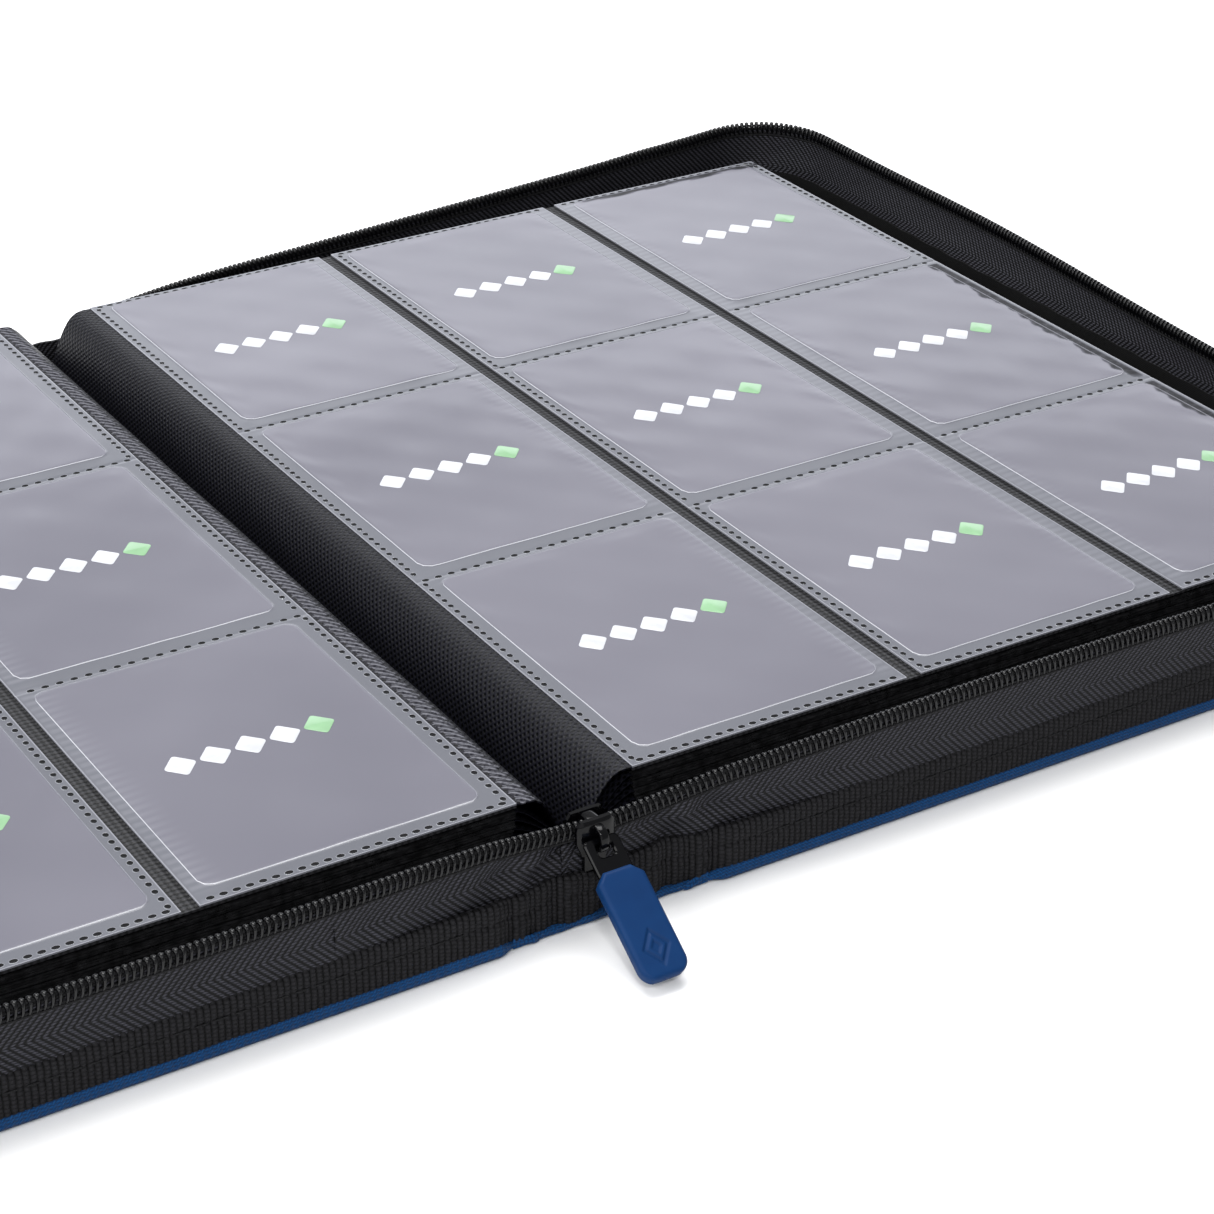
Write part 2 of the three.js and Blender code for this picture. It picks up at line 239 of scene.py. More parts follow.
def ribbed_binding():
    """Upright ribs, each a column of knots that sit half a knot lower on every other rib."""
    s = Shader("ribbed_binding", Roughness=0.75, Specular_IOR_Level=0.14)
    u, v = s.uv()
    wave = s.wave(u, RIB_PITCH)
    shift = s.math("MULTIPLY", s.math("GREATER_THAN", wave, 0.0), 1.57)
    row = s.math("MULTIPLY", v, math.pi / 0.95)
    knot = s.math("ABSOLUTE", s.math("SINE", s.math("ADD", row, shift)))
    rib = s.math("POWER", s.math("ABSOLUTE", wave), 0.6)
    height = s.math("MULTIPLY", rib, s.math("MULTIPLY_ADD", knot, 0.65, 0.35))
    tint = s.math("MULTIPLY_ADD", s.noise(900.0, 4.0), 0.55, s.math("MULTIPLY", height, 0.55))
    s.colour(s.ramp(tint, (0.0005, 0.0005, 0.0007, 1), (0.0165, 0.0160, 0.0185, 1), 0.32, 1.05))
    s.bump(s.math("MULTIPLY_ADD", s.noise(1800.0), 0.35, height), 0.22)
    return s.material


def herringbone():
    """Twill lines that turn back on themselves half-way up the tape, each a row of small knots."""
    s = Shader("herringbone_tape", Roughness=0.6, Specular_IOR_Level=0.16)
    u, v = s.uv()
    slant = s.math("ABSOLUTE", s.math("SUBTRACT", v, 6.2))
    twill = s.wave(s.math("MULTIPLY_ADD", slant, -0.95, u), 1.6)
    line = s.math("POWER", s.math("ABSOLUTE", twill), 1.4)
    knot = s.math("ABSOLUTE", s.wave(v, 0.62))
    height = s.math("MULTIPLY", line, s.math("MULTIPLY_ADD", knot, 0.75, 0.25))
    tint = s.math("MULTIPLY_ADD", s.noise(1500.0, 3.0), 0.40, s.math("MULTIPLY", height, 0.75))
    s.colour(s.ramp(tint, (0.0005, 0.0005, 0.0008, 1), (0.048, 0.048, 0.060, 1), 0.34, 1.05))
    s.bump(height, 0.22)
    return s.material


def leaf_plastic():
    """Black sheet with a fine pebbled grain."""
    s = Shader("leaf_sheet", Specular_IOR_Level=0.35)
    cells = s.pebbles(625.0)
    s.colour(s.ramp(cells, grey(0.020, 1.08), grey(0.006, 1.08), 0.0, 0.8))
    s.gloss(300.0, 0.2, 0.38)
    s.bump(s.math("SUBTRACT", 1.0, cells), 0.06)
    return s.material


def gutter_plastic():
    """Fine pitted crosshatch of the soft inner margins, and the pale bars beside the front page."""
    s = Shader("crosshatched_margin", Specular_IOR_Level=0.14)
    u, v = s.uv()
    turn = 2 * math.pi / 1.9
    a, b = (s.math("COSINE", s.math("MULTIPLY", s.math(way, v, u), turn)) for way in ("ADD", "SUBTRACT"))
    pits = s.math("MULTIPLY", s.math("MULTIPLY_ADD", a, 0.5, 0.5), s.math("MULTIPLY_ADD", b, 0.5, 0.5))
    black = s.ramp(pits, (0.0058, 0.0058, 0.0092, 1), (0.0004, 0.0004, 0.0007, 1), 0.06, 0.5)
    lines = s.wave(s.math("MULTIPLY_ADD", u, 0.55, v), 0.625)
    pale = s.ramp(lines, (0.016, 0.016, 0.022, 1), (0.118, 0.119, 0.138, 1), 0.0, 0.7)
    s.colour(s.blend(s.attribute("bars"), black, pale))
    s.gloss(400.0, 0.36, 0.50)
    s.bump(pits, -0.22)
    return s.material


def hatched_backing():
    """The top leaf's backing, embossed with fine crossing lines."""
    s = Shader("hatched_backing", Specular_IOR_Level=0.15)
    x, y = s.split(s.place())
    a, b = (s.wave(s.math(way, x, y), 1.5 * MM) for way in ("ADD", "SUBTRACT"))
    mesh = s.math("MULTIPLY_ADD", s.math("MULTIPLY", a, b), 0.5, 0.5)
    s.colour(s.ramp(mesh, grey(0.0008), grey(0.030), 0.25, 0.9))
    s.gloss(300.0, 0.36, 0.5)
    s.bump(mesh, 0.2)
    return s.material


def pocket_film(name, coat, specular):
    """Clear film over a grey card: the card lighter, the border darker, open ends see-through."""
    s = Shader(name, Coat_Weight=coat, Coat_Roughness=0.13, IOR=1.45, Specular_IOR_Level=specular)
    cloud = s.noise(11.0, 2.0)
    card = s.ramp(cloud, (0.094, 0.092, 0.118, 1), (0.124, 0.121, 0.150, 1), 0.3, 0.7)
    border = s.ramp(cloud, (0.080, 0.083, 0.100, 1), (0.098, 0.102, 0.121, 1), 0.3, 0.7)
    film = s.blend(s.attribute("card"), border, card)
    film = s.blend(s.math("MULTIPLY", s.attribute("ribs"), 0.45), film, (0.17, 0.172, 0.20, 1))
    film = s.blend(s.attribute("edge"), film, (0.27, 0.275, 0.31, 1))
    flecks = s.math("POWER", s.noise(420.0, 3.0), 3.0)
    dark = s.ramp(flecks, (0.0015, 0.0015, 0.0030, 1), (0.050, 0.050, 0.060, 1), 0.05, 0.5)
    s.colour(s.blend(s.attribute("open"), film, dark))
    s.gloss(60.0, 0.30, 0.42)
    s.bump(s.math("MULTIPLY_ADD", s.attribute("ribs"), 0.10, s.noise(45.0, 2.0)), 0.25, 0.35)
    return s.material


def card_rim_highlight():
    # Painted highlight: the rim is coloured light grey, and near white on the sides that the 'lit' attribute
    # marks as facing the lamps.
    s = Shader("card_rim_highlight", Coat_Weight=0.4)
    shine = s.math("MULTIPLY_ADD", s.noise(60.0), 0.3, s.attribute("lit"))
    s.colour(s.ramp(shine, (0.17, 0.172, 0.20, 1), (0.46, 0.465, 0.50, 1), 0.3, 1.1))
    s.gloss(90.0, 0.2, 0.35)
    return s.material


def printed(name, tint):
    dim = tuple(c * 0.88 for c in tint[:3]) + (1,)
    return plain(name, 160.0, dim, tint, (60.0, 0.28, 0.4), (0.35, 0.65),
                 Coat_Weight=0.5, Coat_Roughness=0.12).material


def pull_rubber():
    s = plain("blue_rubber", 90.0, (0.0020, 0.0210, 0.0800, 1), (0.0028, 0.0265, 0.0960, 1),
              (400.0, 0.42, 0.56), (0.3, 0.7), Specular_IOR_Level=0.10)
    s.bump(s.noise(2600.0, 2.0), 0.03, 0.5)
    return s.material


def black_board():
    s = Shader("black_board", Roughness=0.9)
    s.colour(s.ramp(s.noise(120.0, 6.0), (0.006, 0.006, 0.007, 1), (0.014, 0.014, 0.015, 1)))
    s.bump(s.noise(600.0), 0.1)
    return s.material


BLUE = cloth_blue()
LINING = cloth_black("black_lining", 0.5)
RIBBED = ribbed_binding()
BAND = cloth_black("smooth_band", 0.34, 0.0012, 0.004)
TAPE = herringbone()
THREAD = cloth_black("black_thread", 0.25, 0.002, 0.016)
COIL = plain("coil_nylon", 700.0, (0.0008, 0.0008, 0.0012, 1), (0.0025, 0.0025, 0.0032, 1),
             (500.0, 0.07, 0.14), IOR=1.5, Specular_IOR_Level=0.28).material
HATCHED = hatched_backing()
LEAF = leaf_plastic()
MARGIN = gutter_plastic()
FILM = [pocket_film("pocket_film", 0.45, 0.5), pocket_film("pocket_film_open_end", 0.05, 0.12)]
LIP = plain("weld_lip", 350.0, (0.11, 0.115, 0.13, 1), (0.26, 0.27, 0.30, 1),
            (200.0, 0.2, 0.35), Coat_Weight=0.5, Coat_Roughness=0.1).material
HOLE = plain("weld_hole", 500.0, (0.0012, 0.0012, 0.0015, 1), (0.007, 0.007, 0.008, 1),
             (300.0, 0.35, 0.5), Specular_IOR_Level=0.06).material
RIM_HIGHLIGHT = card_rim_highlight()
WHITE = printed("printed_white", (0.50, 0.51, 0.54, 1))
GREEN = printed("printed_green", (0.20, 0.38, 0.20, 1))
ENAMEL = plain("black_enamel", 220.0, (0.0006, 0.0006, 0.0009, 1), (0.0020, 0.0020, 0.0026, 1),
               (150.0, 0.10, 0.20), Specular_IOR_Level=0.16, Coat_Weight=0.04, Coat_Roughness=0.05).material
RUBBER = pull_rubber()
BOARD = black_board()


# ---- mesh helpers
def make(name, points, faces, materials, m=1, uv=None, slots=None, attributes=None, angle=40,
         closed=True):
    """A mesh object from millimetre points. m = -1 mirrors it across the spine."""
    points = np.array(points, float).reshape(-1, 3)
    points[:, 0] *= m
    if m < 0:
        faces = [tuple(f[::-1]) for f in faces]
    mesh = bpy.data.meshes.new(name)
    mesh.from_pydata((points * MM).tolist(), [], [tuple(int(i) for i in f) for f in faces])
    if slots is not None:
        mesh.polygons.foreach_set("material_index", np.asarray(slots, np.int32))
    if closed:
        bm = bmesh.new()
        bm.from_mesh(mesh)
        bmesh.ops.recalc_face_normals(bm, faces=bm.faces)
        bm.to_mesh(mesh)
        bm.free()
    if uv is not None:
        layer = mesh.uv_layers.new(name="pattern")
        corner = np.zeros(len(mesh.loops), np.int32)
        mesh.loops.foreach_get("vertex_index", corner)
        layer.data.foreach_set("uv", np.asarray(uv, np.float32).reshape(-1, 2)[corner].ravel())
    for key, values in (attributes or {}).items():
        layer = mesh.attributes.new(key, "FLOAT", "POINT")
        layer.data.foreach_set("value", np.asarray(values, np.float32).ravel())
    for material in materials if isinstance(materials, (list, tuple)) else [materials]:
        mesh.materials.append(material)
    mesh.shade_smooth()
    mesh.set_sharp_from_angle(angle=math.radians(angle))
    obj = bpy.data.objects.new(name, mesh)
    bpy.context.scene.collection.objects.link(obj)
    return obj


def settle(obj, slot, body=None, replaces=(), blend=None):
    """Hides the frame's parts that the piece replaces, then attaches the piece to its body, or bakes its
    place in when a blend is given. The slot is not used.
    """
    if replaces:
        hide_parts(*replaces)
    if blend:
        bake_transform(obj)
    else:
        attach(obj, body)
    return obj


def grid_faces(rows, columns, first=0):
    i, j = np.meshgrid(np.arange(rows - 1), np.arange(columns - 1), indexing="ij")
    a = (first + i * columns + j).ravel()
    return np.stack([a, a + 1, a + columns + 1, a + columns], axis=1).tolist()


def grid_border(rows, columns):
    """Indices round the edge of a grid, in order."""
    near = list(range(columns))
    right = [i * columns + columns - 1 for i in range(1, rows)]
    far = [(rows - 1) * columns + j for j in range(columns - 2, -1, -1)]
    left = [i * columns for i in range(rows - 2, 0, -1)]
    return near + right + far + left


def shell(outer, inner):
    """Points and faces of a closed shell between two grids of the same shape."""
    rows, columns = outer.shape[:2]
    count = rows * columns
    faces = grid_faces(rows, columns) + [f[::-1] for f in grid_faces(rows, columns, count)]
    border = grid_border(rows, columns)
    faces += [[b, a, a + count, b + count] for a, b in zip(border, border[1:] + border[:1])]
    return np.concatenate([outer.reshape(-1, 3), inner.reshape(-1, 3)]), faces


def thick(surface, outward, inward):
    """A shell that stands the given distances off the two sides of a surface."""
    n = np.cross(np.gradient(surface, axis=0), np.gradient(surface, axis=1))
    n /= np.maximum(np.linalg.norm(n, axis=2, keepdims=True), 1e-9)
    return shell(surface + n * outward, surface - n * inward)


def two_skins(u, v):
    """The pattern map of the two skins of a sheet."""
    uv = np.stack(np.broadcast_arrays(u, v), axis=2).reshape(-1, 2)
    return np.vstack([uv, uv])


def tube_faces(rings, sides, looped=False):
    """Faces of a tube of rings, its two ends closed, or joined to each other."""
    near, side = np.meshgrid(np.arange(rings - (not looped)), np.arange(sides), indexing="ij")
    far, turn = (near + 1) % rings * sides, (side + 1) % sides
    near = near * sides
    faces = np.stack([near + side, near + turn, far + turn, far + side], axis=2).reshape(-1, 4).tolist()
    if not looped:
        faces += [list(range(sides))[::-1], list(range((rings - 1) * sides, rings * sides))]
    return faces


def tangents(path):
    """Unit directions along a path, one for each point."""
    step = np.gradient(path, axis=0)
    return step / np.maximum(np.linalg.norm(step, axis=1, keepdims=True), 1e-9)


def copies(points, faces, places, slots=None):
    """One mesh of many copies: places are (origin, 3x3 matrix whose columns are the copy's axes)."""
    origins = np.array([p[0] for p in places], float)
    axes = np.array([p[1] for p in places], float)
    moved = origins[:, None, :] + np.einsum("nij,kj->nki", axes, np.asarray(points, float))
    firsts = len(points) * np.arange(len(places))[:, None]
    listed = [row for face in faces for row in (np.array(face) + firsts).tolist()]
    return moved.reshape(-1, 3), listed, None if slots is None else np.repeat(slots, len(places))


def join(parts):
    """Several (points, faces) as one mesh."""
    points, faces, first = [], [], 0
    for p, f in parts:
        p = np.asarray(p, float).reshape(-1, 3)
        points.append(p)
        faces += [tuple(int(i) + first for i in face) for face in f]
        first += len(p)
    return np.vstack(points), faces


def resample(points, step):
    """Points at an even spacing along a polyline, with the distance of each."""
    points = np.asarray(points, float)
    run = np.concatenate([[0], np.cumsum(np.linalg.norm(np.diff(points, axis=0), axis=1))])
    count = max(2, int(round(run[-1] / step)) + 1)
    at = np.linspace(0, run[-1], count)
    return np.stack([np.interp(at, run, points[:, k]) for k in range(points.shape[1])], axis=1), at


def smooth_path(points, per=24):
    """A Catmull-Rom curve through the points."""
    p = np.asarray(points, float)
    p = np.vstack([2 * p[0] - p[1], p, 2 * p[-1] - p[-2]])
    out = []
    for k in range(1, len(p) - 2):
        t = np.linspace(0, 1, per, endpoint=False)[:, None]
        a, b, c, d = p[k - 1], p[k], p[k + 1], p[k + 2]
        square, cube = 2 * a - 5 * b + 4 * c - d, 3 * b - a - 3 * c + d
        out.append(0.5 * (2 * b + (c - a) * t + square * t**2 + cube * t**3))
    return np.vstack(out + [p[-2:-1]])


def step_up(x, low, high):
    """0 below low, 1 above high, and a smooth rise between them."""
    t = np.clip((np.asarray(x, float) - low) / (high - low), 0, 1)
    return t * t * (3 - 2 * t)


def ripple(x, y, seed, scale=1.0):
    """Smooth repeatable unevenness between about -1 and 1."""
    k = 0.61 * seed
    return (
        np.sin(x * 0.113 / scale + 1.7 * k)
        + np.sin(y * 0.091 / scale + 2.3 * k + 0.6 * np.sin(x * 0.05 / scale + k))
        + np.sin((x + y) * 0.157 / scale + 3.1 * k)
        + np.sin((x - 1.3 * y) * 0.071 / scale + 0.9 * k)
    ) / 3.0


def rounded_box(x, y, half_x, half_y, radius):
    """Signed distance to a rounded rectangle round the origin, negative inside."""
    qx, qy = np.abs(x) - (half_x - radius), np.abs(y) - (half_y - radius)
    outside = np.hypot(np.maximum(qx, 0), np.maximum(qy, 0))
    return outside + np.minimum(np.maximum(qx, qy), 0) - radius


def arc(cx, cy, radius, start, end, steps=14):
    angles = np.radians(np.linspace(start, end, steps + 1))
    return [(cx + radius * math.cos(a), cy + radius * math.sin(a)) for a in angles]


# ---- camera, light and floor
def camera():
    data = bpy.data.cameras.new("camera")
    data.sensor_width = 36.0
    data.lens = 91.809  # fitted to the photograph, with the place and turn below
    data.clip_start, data.clip_end = 0.01, 20.0
    obj = bpy.data.objects.new("camera", data)
    obj.location = (-0.27915, -0.61016, 0.3630)
    obj.rotation_euler = (math.radians(90 - 28.61), 0, math.radians(-31.53))
    bpy.context.scene.collection.objects.link(obj)
    bpy.context.scene.camera = obj


def light(name, place, aim, size, power, tint=(1, 1, 1)):
    data = bpy.data.lights.new(name, "AREA")
    data.shape = "RECTANGLE"
    data.size, data.size_y = size
    data.energy = power
    data.color = tint
    obj = bpy.data.objects.new(name, data)
    obj.location = place
    obj.rotation_euler = (Vector(aim) - Vector(place)).to_track_quat("-Z", "Y").to_euler()
    bpy.context.scene.collection.objects.link(obj)


def studio():
    world = bpy.data.worlds.new("studio")
    world.use_nodes = True
    world.node_tree.nodes["Background"].inputs["Color"].default_value = (0.96, 0.975, 1.0, 1)
    world.node_tree.nodes["Background"].inputs["Strength"].default_value = 0.50
    bpy.context.scene.world = world
    bpy.context.scene.view_settings.view_transform = "Standard"
    light("top_soft", (0.15, 0.40, 1.45), (0.05, 0.05, 0), (1.3, 1.0), 29.5)
    light("front_soft", (-0.7, -1.5, 0.45), (0, 0, 0), (1.6, 0.5), 1.6)
    light("left_soft", (-1.5, -0.1, 1.0), (0.1, 0.05, 0.02), (1.7, 1.2), 24.0)
    light("back_panel", (0.72, 1.45, 0.42), (0.10, 0.10, 0.02), (2.4, 0.62), 6.5, (0.90, 0.93, 1.0))
    light("glint", (-0.45, -1.10, 1.10), (0, -0.1, 0.02), (0.22, 0.22), 8.0)
    floor = Shader("pale_floor", Roughness=0.9)
    floor.colour(floor.ramp(floor.noise(3.0), (0.86, 0.86, 0.865, 1), (0.88, 0.88, 0.88, 1)))
    rows = np.linspace(-4000, 4000, 3)
    x, y = np.meshgrid(rows, rows, indexing="ij")
    points = np.stack([x, y, np.full_like(x, -0.15)], axis=2).reshape(-1, 3)
    make("floor", points, grid_faces(3, 3), floor.material, closed=False)


# ---- the line of the standing edge
def rise(m, x, y):
    """How much the soft top of the wall stands above its even level. The two halves answer each
    other, so that the coils still meet when the covers close."""
    far_corner = np.exp(-(((x - 246) / 34) ** 2) - ((y - 150) / 42) ** 2)
    near_run = np.exp(-(((x - 105) / 62) ** 2)) * (y < 0)
    fore_edge = np.exp(-(((y - 65) / 78) ** 2)) * step_up(x, 222, 250)
    lift = 2.9 * far_corner + 0.7 * near_run + 1.9 * fore_edge
    return lift if m > 0 else -0.85 * lift


def lean(x, y):
    """How far the top of the tape leans outward along the fore-edge, the same on both halves."""
    return 4.6 * np.exp(-(((y - 60) / 95) ** 2)) * step_up(x, 226, 250)


def drop(x, y):
    """The tape sinks towards the far end of the spine."""
    return np.where(y > 100, np.clip(8.0 * (204.0 - x) / 146.0, 0, None), 0.0)


def edge_line(m):
    """Middle line of the coil round one half, from the slider to the far end of the spine."""
    first = -2.7 if m > 0 else 5.3
    near = smooth_path([(first, -155.0), (12, -155.0), (28, -156.0), (46, -157.3), (64, -158.0)])
    stiff = [(64, -WALL_Y), (104, -WALL_Y), (144, -WALL_Y), (184, -WALL_Y)] + wall_corners()
    stiff += [(184, WALL_Y), (144, WALL_Y), (104, WALL_Y), (64, WALL_Y)]
    far = smooth_path([(64, 158.0), (46, 157.2), (28, 154.5), (12.3, 151.0)])
    plan, at = resample(np.vstack([near, stiff, far]), LINE_STEP)
    x, y = plan.T
    low_near = np.interp(x, [-3, 12, 28, 46, 64], [22.1, 23.0, 25.0, 26.1, COIL_Z])
    low_far = np.interp(x, [12.3, 28, 46, 64], [13.0, 17.0, 17.95, COIL_Z - 7.67])
    base = np.where(y < 0, low_near, np.where(x < 64, low_far, COIL_Z - drop(x, y)))
    z = base + rise(m, x, y) * step_up(x, 30, 70)
    for _ in range(12):
        z[1:-1] = (z[:-2] + 2 * z[1:-1] + z[2:]) / 4
    _, outward = plan_frame(plan)
    x, y = (plan + outward * lean(x, y)[:, None]).T
    return np.stack([x, y, z], axis=1), at


def binding_top(x, y):
    return BINDING_HIGH - 0.6 * drop(x, y)


def plan_frame(line):
    """Tangent and outward normal in plan for each point of a line."""
    tangent = tangents(line[:, :2])
    return tangent, np.stack([tangent[:, 1], -tangent[:, 0]], axis=1)


def standing(plan, outward, out, z):
    """An upright surface over a line in plan, moved outward point by point."""
    return np.stack([plan[:, :1] + outward[:, :1] * out, plan[:, 1:2] + outward[:, 1:] * out, z], axis=2)


def wall_corners():
    """The wall's two rounded corners in plan, the near one first."""
    near = arc(CORNER_X, -CORNER_Y, WALL_RADIUS, -90, 0)
    return near + arc(CORNER_X, CORNER_Y, WALL_RADIUS, 0, 90)


# ---- zip tape
def tape_run(name, line, at, m, rows=11, crumple=0.0):
    """The woven tape between the binding and the coil, along one stretch of the line."""
    keep = np.arange(0, len(line), 3)
    if keep[-1] != len(line) - 1:
        keep = np.append(keep, len(line) - 1)
    line, at = line[keep], at[keep]
    _, outward = plan_frame(line)
    x, y, top = line.T
    foot = binding_top(x, y) - 1.2
    height = top - 0.75 - foot
    rise_by = np.linspace(0, 1, rows)[None, :]
    z = foot[:, None] + height[:, None] * rise_by
    belly = np.sin(math.pi * rise_by)
    wave = 0.22 * ripple(at[:, None], z * 4, 3 + m) * belly
    if crumple:
        near = np.exp(-(((x - 17) / 9.0) ** 2))[:, None]
        folds = np.sin(x[:, None] * 0.42 + z * 0.34) + 0.6 * np.sin(x[:, None] * 0.27 - z * 0.55 + 1.0)
        wave = wave + crumple * belly * (folds * (0.22 + 0.9 * near) - 0.9 * near)
    out = wave - lean(x, y)[:, None] * (1 - rise_by) ** 1.3
    points, faces = thick(standing(line, outward, out, z), 0.42, 0.42)
    obj = make(name, points, faces, TAPE, m, uv=two_skins(m * at[:, None], z - foot[:, None]))
    return obj, (max(float(np.mean(height)), 10.5) * MM, (at[-1] - at[0]) * MM)


# ---- coil and its stitching
def tooth():
    """One turn of the coil: a loop over the edge of the tape, with a broad head on top."""
    half = ((0.78, -1.75, 0.42, 0.26, 1.0), (0.98, -1.0, 0.22, 0.34, 1.0), (0.95, 0.1, 0.06, 0.36, 1.0),
            (0.62, 1.0, 0.0, 0.40, 1.22))
    head = (0.0, 1.32, 0.0, 0.42, 1.45)
    mirrored = [(-out, up, -shift, radius, wide) for out, up, shift, radius, wide in half[::-1]]
    out, up, shift, radius, wide = np.array([*half, head, *mirrored]).T[:, :, None]
    turn = np.arange(7) * 2 * math.pi / 7
    along = tangents(np.column_stack([out, up]))
    points = np.stack([radius * wide * np.cos(turn) + shift,
                       out - along[:, 1:] * radius * np.sin(turn),
                       up + along[:, :1] * radius * np.sin(turn)], axis=2)
    return points.reshape(-1, 3), tube_faces(len(out), len(turn))


TOOTH = tooth()


def coil_places(line, at, first, last):
    """Where each tooth of a stretch stands: origin and axes along, outward and up."""
    tangent, outward = plan_frame(line)
    slope = np.gradient(line[:, 2], at)
    centres = np.arange(COIL_PITCH / 2, at[-1], COIL_PITCH)
    centres = centres[(centres >= first) & (centres < last)]
    places = []
    for c in centres:
        spot = [np.interp(c, at, line[:, k]) for k in range(3)]
        t = np.array([np.interp(c, at, tangent[:, k]) for k in range(2)])
        o = np.array([np.interp(c, at, outward[:, k]) for k in range(2)])
        s = float(np.interp(c, at, slope))
        along = np.array([t[0], t[1], s])
        along /= np.linalg.norm(along)
        out = np.array([o[0], o[1], 0.0])
        out /= np.linalg.norm(out)
        places.append((spot, np.stack([along, out, np.cross(along, out) * -1], axis=1)))
    return places


def thread_run(line, at, offset, level, radius, sides=6):
    """A corded thread beside the teeth, swelling between them."""
    outward = np.column_stack([plan_frame(line)[1], np.zeros(len(line))])
    swell = radius * (0.62 + 0.38 * np.abs(np.sin(math.pi * at / COIL_PITCH)))
    centre = line + outward * offset + [0, 0, level]
    ring = np.arange(sides) * 2 * math.pi / sides
    reach = np.cos(ring)[None, :, None] * outward[:, None, :] + np.sin(ring)[None, :, None] * [0, 0, 1.0]
    points = centre[:, None, :] + swell[:, None, None] * reach
    return points.reshape(-1, 3), tube_faces(len(line), sides)


def coil_run(name, line, at, first, last, m):
    points, faces, _ = copies(*TOOTH, coil_places(line, at, first, last))
    return make(name, points, faces, COIL, m, angle=70)


def threads(name, line, at, first, last, m):
    span = (at >= first - 0.2) & (at <= last + 0.2)
    beside = [(side * 0.72, level, 0.30) for side in (1, -1) for level in (-1.55, -2.25)]
    core = [(0.0, level, 0.56) for level in (0.42, -0.45)]
    points, faces = join([thread_run(line[span], at[span], *place) for place in beside + core])
    return make(name, points, faces, THREAD, m, uv=points[:, :2], angle=60)


# ---- ribbed edge binding
SEAM_SHARE = 0.56  # how far up the binding its stitching runs


def binding_shell(plan, at, low, high, wave, seed):
    """A ribbed ribbon standing on the cover's edge. Returns points, faces, the map and face slots."""
    rows = 15
    rib = np.abs(np.sin(math.pi * at / RIB_PITCH))[:, None] ** 0.7 - 0.5
    share = np.linspace(0, 1, rows)[None, :]
    z = low[:, None] + ((high - low)[:, None] + 0.32 * rib) * share
    groove = 0.42 * np.exp(-(((share - SEAM_SHARE) / 0.055) ** 2))
    rough = wave * ripple(at[:, None] * 2.2, z * 6, seed)
    face = 0.80 + 0.22 * rib - groove + 0.18 * np.sin(share * math.pi) + rough
    face = face - 0.45 * np.clip((share - 0.93) / 0.07, 0, 1) ** 2
    _, outward = plan_frame(plan)
    points, faces = shell(standing(plan, outward, face, z), standing(plan, outward, rough - 0.78, z))
    cells = (len(plan) - 1) * (rows - 1)
    slots = [0] * cells + [1] * cells + [0] * (len(faces) - 2 * cells)
    return points, faces, two_skins(at[:, None], z), slots


def stitch():
    """A short thread lying in the binding's groove, along the first axis."""
    share = np.linspace(0, 1, 7)[:, None]
    radius = 0.24 * np.sin(math.pi * (0.12 + 0.76 * share)) ** 0.6
    turn = np.arange(6) * 2 * math.pi / 6
    points = np.stack(np.broadcast_arrays(3.3 * (share - 0.5),
                                          0.18 * np.sin(math.pi * share) + radius * np.cos(turn),
                                          radius * np.sin(turn)), axis=2)
    return points.reshape(-1, 3), tube_faces(len(share), len(turn))


STITCH = stitch()


def stitches(plan, at, height, pitch=4.3):
    tangent, _ = plan_frame(plan)
    places = []
    for c in np.arange(pitch, at[-1] - 2, pitch):
        x, y, along_x, along_y, z = (np.interp(c, at, row) for row in (*plan.T, *tangent.T, height))
        size = math.hypot(along_x, along_y)
        t, o = (along_x / size, along_y / size), (along_y / size, -along_x / size)
        axes = np.array([[t[0], o[0], 0], [t[1], o[1], 0], [0, 0, 1.0]])
        places.append(((x + o[0] * 0.62, y + o[1] * 0.62, z), axes))
    return copies(*STITCH, places)[:2]


def inner_band(side, m):
    """The smooth facing sewn along the inside of the wall, over the foot of the zip tape."""
    plan, at = resample([(STIFF_FROM, -WALL_Y)] + wall_corners() + [(STIFF_FROM, WALL_Y)], 1.5)
    _, outward = plan_frame(plan)
    share = np.linspace(0, 1, 9)[None, :]
    low = LEAF_FLOOR + 0.3
    high = (binding_top(plan[:, 0], plan[:, 1]) + 3.6 + 0.15 * np.sin(at * 0.5))[:, None]
    z = low + (high - low) * share
    inset = 1.0 + 0.12 * ripple(at[:, None], z * 5, 11 + m)
    points, faces = thick(standing(plan, outward, -inset, z), 0.14, 0.14)
    obj = make(f"{side}_inner_facing", points, faces, BAND, m, uv=two_skins(at[:, None], z))
    settle(obj, "black_fabric", f"{side}_cover")


def on_cover(x):
    """0 over the spine, 1 on the cover, rising across the fold."""
    return step_up(x, 22.5, 29.5)


